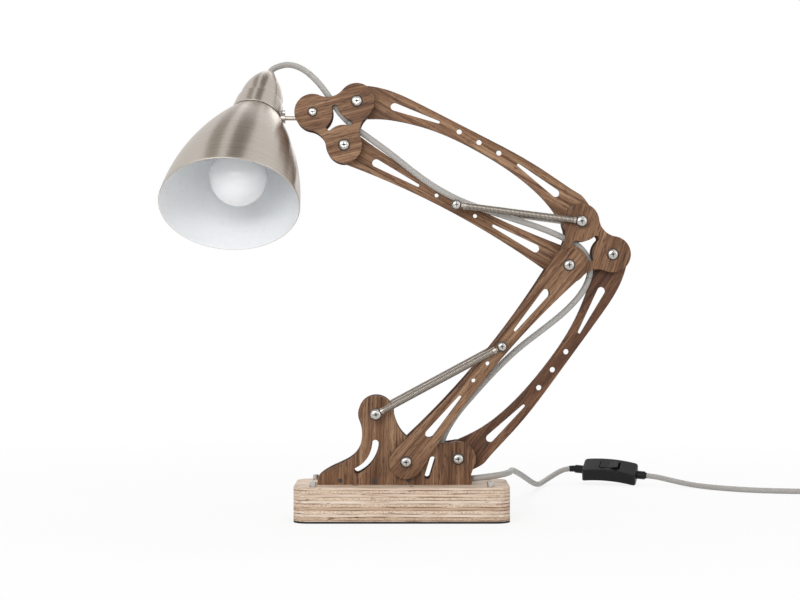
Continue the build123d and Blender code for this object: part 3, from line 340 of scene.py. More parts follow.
# %% Dark cards
CARD_HEIGHT = 2.05
for card_name, colours, (low_x, low_y), (high_x, high_y) in (
    ("card_left", ("#A29C95", "#AEA8A1"), (-1.0, -1.0), (-0.55, 1.6)),
    ("card_middle", ("#8A847D", "#968F88"), (-0.27, -1.3), (0.3, 1.2)),
):
    felt = new_material(f"felt_{card_name}")
    felt_place = add_node(felt, "TexCoord")
    felt_fuzz = add_node(
        felt, "TexNoise", {"Scale": 3, "Detail": 2}, {"Vector": (felt_place, "Object")}
    )
    felt_tint = add_node(
        felt, "ValToRGB", {"stops": [(0.3, colours[0]), (0.7, colours[1])]},
        {"Fac": (felt_fuzz, "Fac")},
    )
    felt_glow = add_node(felt, "Emission", {"Strength": 1}, {"Color": (felt_tint, 0)})
    add_node(felt, "OutputMaterial", (), {"Surface": (felt_glow, 0)})
    corners = ((low_x, low_y), (high_x, low_y), (high_x, high_y), (low_x, high_y))
    card = stage_sheet(card_name, [(x, y, CARD_HEIGHT) for x, y in corners], felt)
    card.visible_camera = False
    card.visible_diffuse = False
    card.visible_shadow = False
    card.visible_transmission = False
    print(card_name, round((high_x - low_x) * (high_y - low_y), 2), "square metres")

# %% [markdown]
# ## Walnut
# The arm is cut from flat walnut boards and oiled. Oiled walnut is a warm mid brown with broad light and dark
# zones, darker growth lines a few millimetres apart and short open pores that run with the grain. All of it
# is stretched noise. A Mapping node of type Texture divides the place by a real size, so each noise is
# written as millimetres along, through and across the grain. Each layer's tint is multiplied onto the ones
# before it, and the faces round each board's sides are drawn darker than its flat faces. Each board has its
# own grain direction.


# %% Oiled walnut
def oiled_walnut(name, angle, shift, tone):
    """Walnut board: grain angle in degrees above +X in the arms' plane, shift in metres, three tones."""
    wood = new_material(name)
    place = add_node(wood, "TexCoord")
    patterns = {}
    colour = None
    for part, sizes, detail, stops in (
        ("zones", (160, 30, 15), 3, [(0.33, tone[0]), (0.5, tone[1]), (0.68, tone[2])]),
        ("lines", (190, 14, 2.4), 3, [(0.36, "#A08674"), (0.5, "#EFE5DD"), (0.62, "#FFFFFF")]),
        ("pores", (11, 1.3, 0.9), 2, [(0.36, "#8E7868"), (0.45, "#FFFFFF")]),
        ("fibres", (34, 2.0, 1.2), 3, [(0.32, "#CDBCAE"), (0.68, "#FFFFFF")]),
    ):
        mapped = add_node(
            wood, "Mapping",
            {
                "vector_type": "TEXTURE",
                "Location": (shift, shift * 2, shift * 3),
                "Rotation": (0, -math.radians(angle), 0),
                "Scale": [size * MM for size in sizes],
            },
            {"Vector": (place, "Object")},
        )
        patterns[part] = add_node(
            wood, "TexNoise", {"Scale": 1, "Detail": detail, "Roughness": 0.55, "Distortion": 0.35},
            {"Vector": (mapped, 0)},
        )
        tint = add_node(wood, "ValToRGB", {"stops": stops}, {"Fac": (patterns[part], "Fac")})
        if colour is None:
            colour = (tint, 0)
            continue
        layered = add_node(
            wood, "Mix", {"data_type": "RGBA", "blend_type": "MULTIPLY", 0: 0.85},
            {6: colour, 7: (tint, 0)},
        )
        colour = (layered, 2)
    # The faces round each board's sides, whose normal lies across Y, are drawn darker than its flat faces.
    facing = add_node(wood, "SeparateXYZ", (), {"Vector": (place, "Normal")})
    flat_side = add_node(wood, "Math", {"operation": "ABSOLUTE"}, {0: (facing, "Y")})
    edge_tint = add_node(
        wood, "ValToRGB", {"stops": [(0.35, "#B9A292"), (0.8, "#FFFFFF")]}, {"Fac": (flat_side, 0)}
    )
    edged = add_node(
        wood, "Mix", {"data_type": "RGBA", "blend_type": "MULTIPLY", 0: 1.0},
        {6: colour, 7: (edge_tint, 0)},
    )
    dull = add_node(
        wood, "MapRange", {"From Min": 0.3, "From Max": 0.7, "To Min": 0.66, "To Max": 0.48},
        {"Value": (patterns["fibres"], "Fac")},
    )
    bump = add_node(
        wood, "Bump", {"Strength": 0.35, "Distance": 0.25 * MM},
        {"Height": (patterns["pores"], "Fac")},
    )
    shader = add_node(
        wood, "BsdfPrincipled", {"IOR": 1.5, "Specular IOR Level": 0.35},
        {"Base Color": (edged, 2), "Roughness": (dull, 0), "Normal": (bump, 0)},
    )
    add_node(wood, "OutputMaterial", (), {"Surface": (shader, 0)})
    return wood


def dress(material, *names):
    """Gives CAD nodes one material."""
    for name in names:
        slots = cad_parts[name].data.materials
        slots.clear()
        slots.append(material)


# The rear plates, the lower arched link and the foot rail get a darker copy of the same walnut: painted
# shade, where they stand behind or under other boards.
WARM = ("#664529", "#8E6D50", "#AE8E70")
SHADED_WALNUT = ("#4F311C", "#714E34", "#8F6C50")
boards = {
    "bracket_front": (89, 0.013, WARM), "bracket_rear": (91, 0.047, SHADED_WALNUT),
    "lower_link_front": (50.4, 0.021, WARM), "lower_link_rear": (50.4, 0.083, SHADED_WALNUT),
    "upper_link": (151.8, 0.117, WARM),
    "lower_arched_link": (53, 0.151, SHADED_WALNUT), "upper_arched_link": (150, 0.187, WARM),
    "elbow_plate_front": (72, 0.223, WARM), "elbow_plate_rear": (64, 0.251, SHADED_WALNUT),
    "head_plate_front": (14, 0.283, WARM), "head_plate_rear": (14, 0.311, SHADED_WALNUT),
    "foot_rail": (0, 0.353, SHADED_WALNUT),
}
for board, (angle, shift, tone) in boards.items():
    dress(oiled_walnut(f"oiled_walnut_{board}", angle, shift, tone), board)
print("walnut boards", len(boards))

# %% [markdown]
# ## Softened edges
# A sawn and sanded board has no razor edge: its corners are broken by half a millimetre or more, and that
# small round catches the light as a thin line. A Bevel modifier gives it to the CAD boards without touching
# their meshes. The CAD mesh is made of triangles and split along its edges, so a Weld modifier joins it and
# a Decimate modifier melts the triangles of each flat side into one face first. A Weighted Normal modifier
# keeps the flat faces flat after the bevel.


# %% Softened edges
def soften(width, segments, *names):
    """Breaks the edges of CAD nodes by a width in millimetres."""
    for name in names:
        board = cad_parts[name]
        weld = board.modifiers.new("joined", "WELD")
        weld.merge_threshold = 0.002 * MM
        melt = board.modifiers.new("whole_faces", "DECIMATE")
        melt.decimate_type = "DISSOLVE"
        melt.angle_limit = math.radians(0.5)
        bevel = board.modifiers.new("broken_edges", "BEVEL")
        bevel.width = width * MM
        bevel.segments = segments
        bevel.limit_method = "ANGLE"
        bevel.angle_limit = math.radians(50)
        bevel.miter_outer = "MITER_ARC"
        flat = board.modifiers.new("flat_faces", "WEIGHTED_NORMAL")
        flat.keep_sharp = False


soften(0.5, 2, *boards)
soften(1.6, 4, "base_block")
print("softened", len(boards) + 1, "boards")

# %% [markdown]
# ## Birch plywood
# The base is a thick block of birch plywood with its edge left bare. Thin plies lie crosswise on each other:
# a ply seen along its fibres is pale and smooth, the next one shows the sawn ends of its fibres as short
# dashes, and between them runs a brown line of glue that comes and goes. The plies are worked out from the
# height. Two noises, one stretched along X and one along Y, make the short sides of the block show the two
# kinds of ply the other way round.

# %% Plies from the height
PLY, BLOCK_HEIGHT = 3.4 * MM, 34 * MM
birch_ply = new_material("birch_plywood")
ply_place = add_node(birch_ply, "TexCoord")
ply_patterns = {}
for part, sizes, detail in (
    ("wave", (60, 60, 12), 2),
    ("glue", (34, 34, 5), 2),
    ("streaks_x", (40, 2.0, 0.7), 3),
    ("streaks_y", (2.0, 40, 0.7), 3),
    ("gaps", (13, 13, 1.5), 1),
):
    ply_map = add_node(
        birch_ply, "Mapping", {"vector_type": "TEXTURE", "Scale": [size * MM for size in sizes]},
        {"Vector": (ply_place, "Object")},
    )
    ply_patterns[part] = add_node(
        birch_ply, "TexNoise", {"Scale": 1, "Detail": detail, "Roughness": 0.6},
        {"Vector": (ply_map, 0)},
    )
ply_axes = add_node(birch_ply, "SeparateXYZ", (), {"Vector": (ply_place, "Object")})
ply_bent = add_node(
    birch_ply, "Math", {"operation": "MULTIPLY_ADD", 1: 1.6 * MM},
    {0: (ply_patterns["wave"], "Fac"), 2: (ply_axes, "Z")},
)
ply_count = add_node(birch_ply, "Math", {"operation": "DIVIDE", 1: PLY}, {0: (ply_bent, 0)})
ply_index = add_node(birch_ply, "Math", {"operation": "FLOOR"}, {0: (ply_count, 0)})
ply_share = add_node(birch_ply, "Math", {"operation": "FRACT"}, {0: (ply_count, 0)})
ply_tone = add_node(birch_ply, "TexWhiteNoise", {"noise_dimensions": "1D"}, {"W": (ply_index, 0)})
ply_odd = add_node(birch_ply, "Math", {"operation": "PINGPONG", 1: 1.0}, {0: (ply_index, 0)})
print("plies in the block", round(BLOCK_HEIGHT / PLY, 1))

# %% Colour of the plies
ply_base = add_node(
    birch_ply, "ValToRGB", {"stops": [(0.0, "#C6AD95"), (0.5, "#DAC6B2"), (1.0, "#E8D9CA")]},
    {"Fac": (ply_tone, "Value")},
)
ply_streaks = add_node(
    birch_ply, "Mix", {"data_type": "FLOAT"},
    {0: (ply_odd, 0), 2: (ply_patterns["streaks_x"], "Fac"), 3: (ply_patterns["streaks_y"], "Fac")},
)
ply_streak_tint = add_node(
    birch_ply, "ValToRGB", {"stops": [(0.34, "#A88D76"), (0.46, "#EADFD4"), (0.56, "#FFFFFF")]},
    {"Fac": (ply_streaks, 0)},
)
ply_glue_tint = add_node(
    birch_ply, "ValToRGB",
    {"stops": [(0.0, "#A98C74"), (0.06, "#6E4F39"), (0.18, "#7C5C46"), (0.27, "#FFFFFF")]},
    {"Fac": (ply_share, 0)},
)
ply_glue_share = add_node(
    birch_ply, "MapRange", {"From Min": 0.4, "From Max": 0.6, "To Min": 0.15, "To Max": 1.0},
    {"Value": (ply_patterns["glue"], "Fac")},
)
ply_gap_tint = add_node(
    birch_ply, "ValToRGB", {"stops": [(0.25, "#6A4A36"), (0.31, "#FFFFFF")]},
    {"Fac": (ply_patterns["gaps"], "Fac")},
)
ply_colour = (ply_base, 0)
for tint, strength, share in (
    (ply_streak_tint, 0.8, {}),
    (ply_glue_tint, 1.0, {0: (ply_glue_share, 0)}),
    (ply_gap_tint, 0.9, {}),
):
    layered = add_node(
        birch_ply, "Mix", {"data_type": "RGBA", "blend_type": "MULTIPLY", 0: strength},
        {**share, 6: ply_colour, 7: (tint, 0)},
    )
    ply_colour = (layered, 2)
ply_bump = add_node(
    birch_ply, "Bump", {"Strength": 0.3, "Distance": 0.2 * MM}, {"Height": (ply_streaks, 0)}
)
ply_shader = add_node(
    birch_ply, "BsdfPrincipled", {"Roughness": 0.62, "IOR": 1.5, "Specular IOR Level": 0.3},
    {"Base Color": ply_colour, "Normal": (ply_bump, 0)},
)
add_node(birch_ply, "OutputMaterial", (), {"Surface": (ply_shader, 0)})
dress(birch_ply, "base_block")
print("plywood nodes", len(birch_ply.node_tree.nodes))

# %% [markdown]
# ## Metals
# The screws are zinc-plated steel, bright and a little uneven. The springs are drawn steel wire. The shade is
# spun sheet, brushed while it turned, with a warm nickel finish: the brush leaves rings, and rings stretch
# each reflection along the shade, which is what anisotropy does. The rings are drawn 0.4 mm wide, coarser
# than a real brush leaves them, so that they show. The rod and the knuckle are nickel-plated and not brushed,
# the weight in the base is dark cast iron, and the pins of the plug are plated brass. None of these surfaces
# is quite even, so one function gives a fine noise to their roughness and a small bump.


# %% Surface with fine spots
def spotted_surface(name, colours, grain, rough, bump, settings):
    """Surface that varies in spots of a grain size in mm: one colour or two, a range of roughness, a bump."""
    material = new_material(name)
    place = add_node(material, "TexCoord")
    mapped = add_node(
        material, "Mapping", {"vector_type": "TEXTURE", "Scale": [grain * MM] * 3},
        {"Vector": (place, "Object")},
    )
    spots = add_node(material, "TexNoise", {"Scale": 1, "Detail": 3}, {"Vector": (mapped, 0)})
    uneven = add_node(
        material, "MapRange",
        {"From Min": 0.3, "From Max": 0.7, "To Min": rough[0], "To Max": rough[1]}, {"Value": (spots, "Fac")},
    )
    strength, depth = bump
    relief = add_node(
        material, "Bump", {"Strength": strength, "Distance": depth * MM}, {"Height": (spots, "Fac")}
    )
    links = {"Roughness": (uneven, 0), "Normal": (relief, 0)}
    if len(colours) == 1:
        settings = {**settings, "Base Color": linear(colours[0])}
    else:
        stops = list(zip((0.3, 0.7), colours))
        tint = add_node(material, "ValToRGB", {"stops": stops}, {"Fac": (spots, "Fac")})
        links["Base Color"] = (tint, 0)
    shader = add_node(material, "BsdfPrincipled", settings, links)
    add_node(material, "OutputMaterial", (), {"Surface": (shader, 0)})
    return material


# %% Metals
METAL, FINE_BUMP = {"Metallic": 1}, (0.08, 0.1)
screw_zinc = spotted_surface("zinc_plated_steel", ["#BDBAB6"], 1.6, (0.14, 0.3), FINE_BUMP, METAL)
spring_wire_steel = spotted_surface("drawn_spring_steel", ["#A39B92"], 2.5, (0.22, 0.36), FINE_BUMP, METAL)
weight_iron = spotted_surface("cast_iron", ["#4A4A4A"], 1.2, (0.5, 0.7), FINE_BUMP, METAL)
pin_brass = spotted_surface("nickel_plated_brass", ["#C9BE9E"], 2, (0.2, 0.3), FINE_BUMP, METAL)
plain_nickel = spotted_surface("nickel_plate", ["#B5ACA3"], 2, (0.2, 0.34), FINE_BUMP, METAL)
dress(
    screw_zinc, "corner_screws", "base_screws", "elbow_screws", "head_screws", "base_nuts", "elbow_nuts",
    "head_nuts", "lower_spring_pin", "upper_spring_pin", "base_washers", "elbow_washers", "head_washers",
    "lower_spring_sleeves", "upper_spring_sleeves", "neck_screw", "rod_clip", "bulb_cap", "foot_screws",
)
dress(
    spring_wire_steel, "lower_spring_near_eyes", "lower_spring_far_eyes", "upper_spring_near_eyes",
    "upper_spring_far_eyes",
)
dress(weight_iron, "base_weight", "rail_screws")
dress(pin_brass, "plug_pins")
dress(plain_nickel, "shade_stem", "knuckle")
print("metals", [m.name for m in (screw_zinc, spring_wire_steel, weight_iron, pin_brass, plain_nickel)])

# %% Brushed nickel of the shade
RING_TURN, RING_WIDTH = 0.3, 0.4 * MM
brushed_nickel = new_material("spun_brushed_nickel")
nickel_place = add_node(brushed_nickel, "TexCoord")
nickel_map = add_node(
    brushed_nickel, "Mapping", {"vector_type": "TEXTURE", "Scale": (RING_TURN, RING_WIDTH, 1)},
    {"Vector": (nickel_place, "UV")},
)
nickel_rings = add_node(
    brushed_nickel, "TexNoise",
    {"noise_dimensions": "2D", "Scale": 1, "Detail": 4, "Roughness": 0.7}, {"Vector": (nickel_map, 0)},
)
nickel_tint = add_node(
    brushed_nickel, "ValToRGB", {"stops": [(0.3, "#B4ABA1"), (0.7, "#C6BEB5")]},
    {"Fac": (nickel_rings, "Fac")},
)
nickel_rough = add_node(
    brushed_nickel, "MapRange", {"From Min": 0.3, "From Max": 0.7, "To Min": 0.24, "To Max": 0.36},
    {"Value": (nickel_rings, "Fac")},
)
nickel_bump = add_node(
    brushed_nickel, "Bump", {"Strength": 0.12, "Distance": 0.05 * MM},
    {"Height": (nickel_rings, "Fac")},
)
nickel_round = add_node(brushed_nickel, "Tangent", {"direction_type": "UV_MAP"})
nickel_shader = add_node(
    brushed_nickel, "BsdfPrincipled",
    {"Metallic": 1, "Anisotropic": 0.75, "Anisotropic Rotation": 0.25},
    {
        "Base Color": (nickel_tint, 0), "Roughness": (nickel_rough, 0), "Normal": (nickel_bump, 0),
        "Tangent": (nickel_round, 0),
    },
)
add_node(brushed_nickel, "OutputMaterial", (), {"Surface": (nickel_shader, 0)})
print("brushed rings", RING_WIDTH / MM, "mm wide")

# %% [markdown]
# ## Plastics, enamel and glass
# The switch and plug are black ABS from a lightly sparked mould, the pad under the block is dark foam rubber.
# Inside, the shade is sprayed with white enamel, and the bulb is opal glass, which lets light sink in a
# little. A moulded or sprayed surface is never quite even either, so the same function serves here, with two
# close colours.


# %% Plastics, enamel and glass
COATED = {"IOR": 1.5}
black_abs = spotted_surface(
    "black_abs", ["#0C0C0D", "#131314"], 0.5, (0.357, 0.483), (0.4, 0.04),
    {**COATED, "Specular IOR Level": 0.22},
)
foam_black = spotted_surface(
    "black_foam_rubber", ["#101112", "#202223"], 0.9, (0.7225, 0.9775), (0.4, 0.2), COATED
)
white_enamel = spotted_surface(
    "white_enamel", ["#F3F5F7", "#F7F9FA"], 4, (0.272, 0.368), (0.4, 0.01),
    {**COATED, "Coat Weight": 0.3, "Coat Roughness": 0.1},
)
holder_white = spotted_surface(
    "white_thermoset", ["#E4E3DF", "#ECEBE8"], 2, (0.34, 0.46), (0.4, 0.03), COATED
)
bulb_opal = spotted_surface(
    "opal_glass", ["#E6E7E8", "#EBECED"], 12, (0.102, 0.138), (0.4, 0.01),
    {
        **COATED, "Subsurface Weight": 0.35, "Subsurface Radius": [12 * MM] * 3,
        "Coat Weight": 0.4, "Coat Roughness": 0.05,
    },
)
dress(black_abs, "switch_body", "switch_rocker", "plug_body", "cord_grommet")
dress(foam_black, "base_pad")
dress(holder_white, "lamp_holder")
dress(bulb_opal, "bulb_glass")
print("soft-lit surfaces", [m.name for m in (black_abs, foam_black, white_enamel, holder_white, bulb_opal)])

# %% [markdown]
# ## Braided cord cover
# The cord is covered with grey yarn, braided round it in two directions. A real braid has about sixteen yarns
# each way, too fine to show from here, so it is drawn coarser, with ten. The tube carries a UV map that
# counts turns round the cord and metres along it: the sum of the two gives one set of yarns, the difference
# the other, and a checker says which of them lies on top.

# %% Braided cord cover
YARNS, YARN_PITCH = 10, 2.0 * MM
cord_braid = new_material("braided_cotton_yarn")
braid_place = add_node(cord_braid, "TexCoord")
braid_axes = add_node(cord_braid, "SeparateXYZ", (), {"Vector": (braid_place, "UV")})
braid_round = add_node(
    cord_braid, "Math", {"operation": "MULTIPLY", 1: YARNS}, {0: (braid_axes, "X")}
)
braid_along = add_node(
    cord_braid, "Math", {"operation": "DIVIDE", 1: YARN_PITCH}, {0: (braid_axes, "Y")}
)
braid_ridges, braid_steps = [], []
for sense in ("ADD", "SUBTRACT"):
    way = add_node(
        cord_braid, "Math", {"operation": sense}, {0: (braid_round, 0), 1: (braid_along, 0)}
    )
    ridge = add_node(cord_braid, "Math", {"operation": "PINGPONG", 1: 0.5}, {0: (way, 0)})
    braid_ridges.append(ridge)
    braid_steps.append(add_node(cord_braid, "Math", {"operation": "FLOOR"}, {0: (way, 0)}))
braid_sum = add_node(
    cord_braid, "Math", {"operation": "ADD"}, {0: (braid_steps[0], 0), 1: (braid_steps[1], 0)}
)
braid_over = add_node(cord_braid, "Math", {"operation": "PINGPONG", 1: 1.0}, {0: (braid_sum, 0)})
braid_height = add_node(
    cord_braid, "Mix", {"data_type": "FLOAT"},
    {0: (braid_over, 0), 2: (braid_ridges[0], 0), 3: (braid_ridges[1], 0)},
)
# Each yarn is drawn darker towards its edges, where it dips under the next one: painted shade in the creases
# of the braid.
yarn_tint_with_crease_shade = add_node(
    cord_braid, "ValToRGB", {"stops": [(0.0, "#8C8884"), (0.2, "#A9A6A2"), (0.5, "#BAB7B3")]},
    {"Fac": (braid_height, 0)},
)
braid_bump = add_node(
    cord_braid, "Bump", {"Strength": 0.6, "Distance": 0.25 * MM}, {"Height": (braid_height, 0)}
)
braid_shader = add_node(
    cord_braid, "BsdfPrincipled", {"Roughness": 0.55, "IOR": 1.5, "Specular IOR Level": 0.4},
    {"Base Color": (yarn_tint_with_crease_shade, 0), "Normal": (braid_bump, 0)},
)
add_node(cord_braid, "OutputMaterial", (), {"Surface": (braid_shader, 0)})
print("yarns each way", YARNS)

# %% [markdown]
# ## Mesh helpers
# Three shapes come back all over the lamp: a tube along a line, a profile spun round an axis, and a mesh made
# from lists of points and faces. Each gets one function.


# %% Mesh helpers
def new_piece(name, points, faces, materials, slots=None, uvs=None):
    """Smooth mesh object; slots gives each face's material, uvs one pair per face corner."""
    mesh = bpy.data.meshes.new(name)
    mesh.from_pydata([tuple(p) for p in points], [], faces)
    for material in materials:
        mesh.materials.append(material)
    if slots:
        mesh.polygons.foreach_set("material_index", slots)
    if uvs:
        layer = mesh.uv_layers.new(name="UVMap")
        layer.data.foreach_set("uv", [value for pair in uvs for value in pair])
    mesh.polygons.foreach_set("use_smooth", [True] * len(mesh.polygons))
    mesh.update()
    piece = bpy.data.objects.new(name, mesh)
    bpy.context.scene.collection.objects.link(piece)
    return piece


def rings_along(points, radius_at, sides):
    """Ring of points round each point of a line; radius_at gives the radius at a share of the length."""
    total = length_of(points)
    walked = 0
    normal = None
    rings = []
    for i, point in enumerate(points):
        way = (points[min(i + 1, len(points) - 1)] - points[max(i - 1, 0)]).normalized()
        if normal is None:
            normal = way.orthogonal().normalized()
        normal = (normal - way * normal.dot(way)).normalized()
        other = way.cross(normal)
        if i:
            walked += (point - points[i - 1]).length
        radius = radius_at(walked / total)
        turns = [2 * math.pi * k / sides for k in range(sides)]
        rings.append([point + (normal * math.cos(t) + other * math.sin(t)) * radius for t in turns])
    return rings


def closed_tube(rings):
    """Points, faces and UVs of a tube through rings, with caps; u counts turns and v metres along it."""
    sides = len(rings[0])
    points = [p for ring in rings for p in ring]
    walked = [0]
    for ring, after in zip(rings, rings[1:]):
        walked.append(walked[-1] + (sum(after, Vector()) - sum(ring, Vector())).length / sides)
    faces, uvs = [], []
    for i in range(len(rings) - 1):
        for k in range(sides):
            a, b = i * sides + k, i * sides + (k + 1) % sides
            faces.append((a, b, b + sides, a + sides))
            left, right = k / sides, (k + 1) / sides
            uvs += [(left, walked[i]), (right, walked[i]), (right, walked[i + 1]), (left, walked[i + 1])]
    faces.append(tuple(reversed(range(sides))))
    faces.append(tuple(range(len(points) - sides, len(points))))
    uvs += [(0, 0)] * (2 * sides)
    return points, faces, uvs


def spun(lines, closed):
    """Points, faces and UVs of lines of points that stand round an axis; each line runs round the section."""
    count, n = len(lines), len(lines[0])
    points = [p for line in lines for p in line]
    along = [0]
    for a, b in zip(lines[0], lines[0][1:] + lines[0][:1]):
        along.append(along[-1] + (b - a).length)
    faces, uvs = [], []
    for k in range(count):
        after = (k + 1) % count
        for i in range(n if closed else n - 1):
            j = (i + 1) % n
            faces.append((k * n + i, after * n + i, after * n + j, k * n + j))
            left, right = k / count, (k + 1) / count
            uvs += [(left, along[i]), (right, along[i]), (right, along[i + 1]), (left, along[i + 1])]
    return points, faces, uvs


# %% [markdown]
# ## Cord in the arm
# The cord is cut into six stretches in the middle of straight runs, one for each pivot that it passes. All
# six are slices of one tube, so the slices meet exactly.

# %% Six stretches of cord
CORD_SIDES = 20
CUT_RUNS = (7, 12, 17, 24, 27)
inner_rings = rings_along(inner_points, lambda share: CORD_RADIUS, CORD_SIDES)
run_middles = [(inner_route[i] + inner_route[i + 1]) / 2 * MM for i in CUT_RUNS]
cuts = [0]
for middle in run_middles:
    cuts.append(min(range(len(inner_points)), key=lambda i: (inner_points[i] - middle).length))
cuts.append(len(inner_points) - 1)
stretches = (
    ("cord_base", "base", "lower_arm", (45, CORD_Y, 46), (45, CORD_Y, 118)),
    ("cord_lower", "lower_arm", "elbow", (121, CORD_Y, 177), (190, CORD_Y, 238)),
    ("cord_elbow", "elbow", "upper_arm", (186, CORD_Y, 290), (112, CORD_Y, 290)),
    ("cord_upper", "upper_arm", "head", (5, CORD_Y, 364), (-50, CORD_Y, 406)),
    ("cord_head", "head", "stem", (-58, CORD_Y, 413), (-80, CORD_Y, 444)),
    ("cord_shade", "stem", "shade", (-97, 27, 455), (-141, 26, 465)),
)
for (node, first, second, start, end), low, high in zip(stretches, cuts, cuts[1:]):
    points, faces, uvs = closed_tube(inner_rings[low : high + 1])
    stretch = new_piece(f"{node}_braid", points, faces, [cord_braid], uvs=uvs)
    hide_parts(node)
    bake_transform(stretch)
print("cord cut at points", cuts)

# %% [markdown]
# ## Mains cord, switch and plug
# The free cord is one tube from the bracket to the plug. Rubber sleeves guard it where it enters the switch
# and the plug: they taper, start inside the housing and follow the cord's own line, so they are tubes along
# points of its spline.

# %% Mains cord
points, faces, uvs = closed_tube(rings_along(mains_line, lambda share: CORD_RADIUS, CORD_SIDES))
mains_cord = new_piece("mains_lead", points, faces, [cord_braid], uvs=uvs)
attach(mains_cord, "base")
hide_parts("mains_cord", "lead_cord", "cord_coil")
print("mains lead faces", len(faces))


# %% Sleeves
# Sizes in mm; the reach of the switch goes from its middle to the root of a sleeve, inside the housing.
SLEEVE_LENGTH, SLEEVE_RADIUS, SLEEVE_TAPER, SLEEVE_SIDES = 24, 4.9, 1.2, 24
SWITCH_REACH = 22


def sleeve(name, start, way_sign):
    """Tapered sleeve on the mains cord, from the point nearest to start, in one sense along its line."""
    first = min(range(len(mains_line)), key=lambda i: (mains_line[i] - start * MM).length)
    points = [mains_line[first]]
    i = first
    while length_of(points) < SLEEVE_LENGTH * MM:
        i += way_sign
        points.append(mains_line[i])
    rings = rings_along(points, lambda share: (SLEEVE_RADIUS - SLEEVE_TAPER * share) * MM, SLEEVE_SIDES)
    tube_points, faces, _ = closed_tube(rings)
    piece = new_piece(name, tube_points, faces, [black_abs])
    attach(piece, "base")
    return piece


sleeves = [
    sleeve("switch_sleeve_near", cord_line - switch_way * SWITCH_REACH, -1),
    sleeve("switch_sleeve_far", cord_line + switch_way * SWITCH_REACH, 1),
    sleeve("plug_sleeve", plug_entry, -1),
]
print("sleeves", [piece.name for piece in sleeves])

# %% [markdown]
# ## Tie on the coil
# The spare cord is wound in a flat coil of two layers. A strap of woven nylon holds the turns together on one
# side. Its line is a closed loop round the bundle, flattened under it by the weight of the cord.

# %% Tie on the coil
tie_angle = math.radians(150)
tie_out = Vector((math.cos(tie_angle), math.sin(tie_angle), 0))
tie_along = Vector((-math.sin(tie_angle), math.cos(tie_angle), 0))
# Sizes in mm; turns that pass within TIE_NEAR of the tie's line are inside it.
TIE_WIDTH, TIE_THICK, TIE_FOOT, TIE_FLATTENED, TIE_NEAR = 11, 0.9, 0.5, 0.4, 9
from_centre = [p - COIL_CENTRE for p in coil_route]
radii = [p.dot(tie_out) for p in from_centre if abs(p.dot(tie_along)) < TIE_NEAR and p.dot(tie_out) > 0]
tie_low, tie_high = min(radii) - CORD_RADIUS / MM, max(radii) + CORD_RADIUS / MM
tie_top = COIL_STEP + 2 * CORD_LIFT
loop_corners = (
    (tie_low, TIE_FOOT, 180), (tie_high, TIE_FOOT, 270), (tie_high, tie_top, 0), (tie_low, tie_top, 90),
)
tie_points, tie_faces = [], []
for push in (0, TIE_THICK):
    for across in (-TIE_WIDTH / 2, TIE_WIDTH / 2):
        for radius, height, first in loop_corners:
            for step in range(5):
                turn = math.radians(first + 90 * step / 4)
                out = radius + push * math.cos(turn)
                up = height + push * math.sin(turn) * (TIE_FLATTENED if height == TIE_FOOT else 1)
                place = COIL_CENTRE + tie_out * out + tie_along * across + Vector((0, 0, up))
                tie_points.append(place * MM)
loop = len(tie_points) // 4
for i in range(loop):
    j = (i + 1) % loop
    for a, b in ((0, 1), (1, 3), (3, 2), (2, 0)):
        tie_faces.append((a * loop + i, a * loop + j, b * loop + j, b * loop + i))
tie_nylon = spotted_surface("woven_nylon", ["#191A1C", "#2C2D30"], 0.8, (0.595, 0.805), (0.4, 0.2), COATED)
tie = new_piece("coil_tie", tie_points, tie_faces, [tie_nylon])
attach(tie, "base")
print("tie round", round(tie_high - tie_low, 1), "mm of cord")

# %% [markdown]
# ## Painted shade on the screws
# The pivot screws are cross-headed. From the camera's distance the shade in a cross recess is a dark cross on
# the bright dome, and the shadow where the head sits on the wood is a dark line round it. Both are painted
# shade: thin dark pieces laid on the CAD heads, the height of each point read from the head's own mesh.


# %% Shape of a screw head
# A head's points lie within this radius and depth, and its edge within the band.
HEAD_REACH, HEAD_DEPTH, RIM_BAND = 7 * MM, 3.5 * MM, 0.05 * MM


def head_shape(node, x, z):
    """Front of a screw head: its top, its dome's radius, its rim's radius and the height under the rim."""
    spots = []
    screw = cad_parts[node]
    for vertex in screw.data.vertices:
        place = screw.matrix_world @ vertex.co
        spots.append((math.hypot(place.x - x * MM, place.z - z * MM), place.y))
    top = min(y for r, y in spots if r < HEAD_REACH)
    spots = [(r, y) for r, y in spots if r < HEAD_REACH and y < top + HEAD_DEPTH]
    rim = max(r for r, y in spots)
    edge = [y for r, y in spots if r > rim - RIM_BAND]
    drop = min(edge) - top
    return top, (rim**2 + drop**2) / (2 * drop), rim, max(edge)


# %% Painted shade of a screw head: a cross and a ring
# Arm and half width are shares of the rim's radius; the rings lie this far past the rim and above the wood.
CROSS_ARM, CROSS_HALF, CROSS_LIFT = 0.58, 0.12, 0.12 * MM
CROSS_LEAN, CROSS_SIZE, CROSS_STEPS = 0.35, 1.06, 8
RIM_RINGS, RIM_SIDES = ((-0.2, 0.25), (0.75, 0.25), (0.85, 0.02)), 32


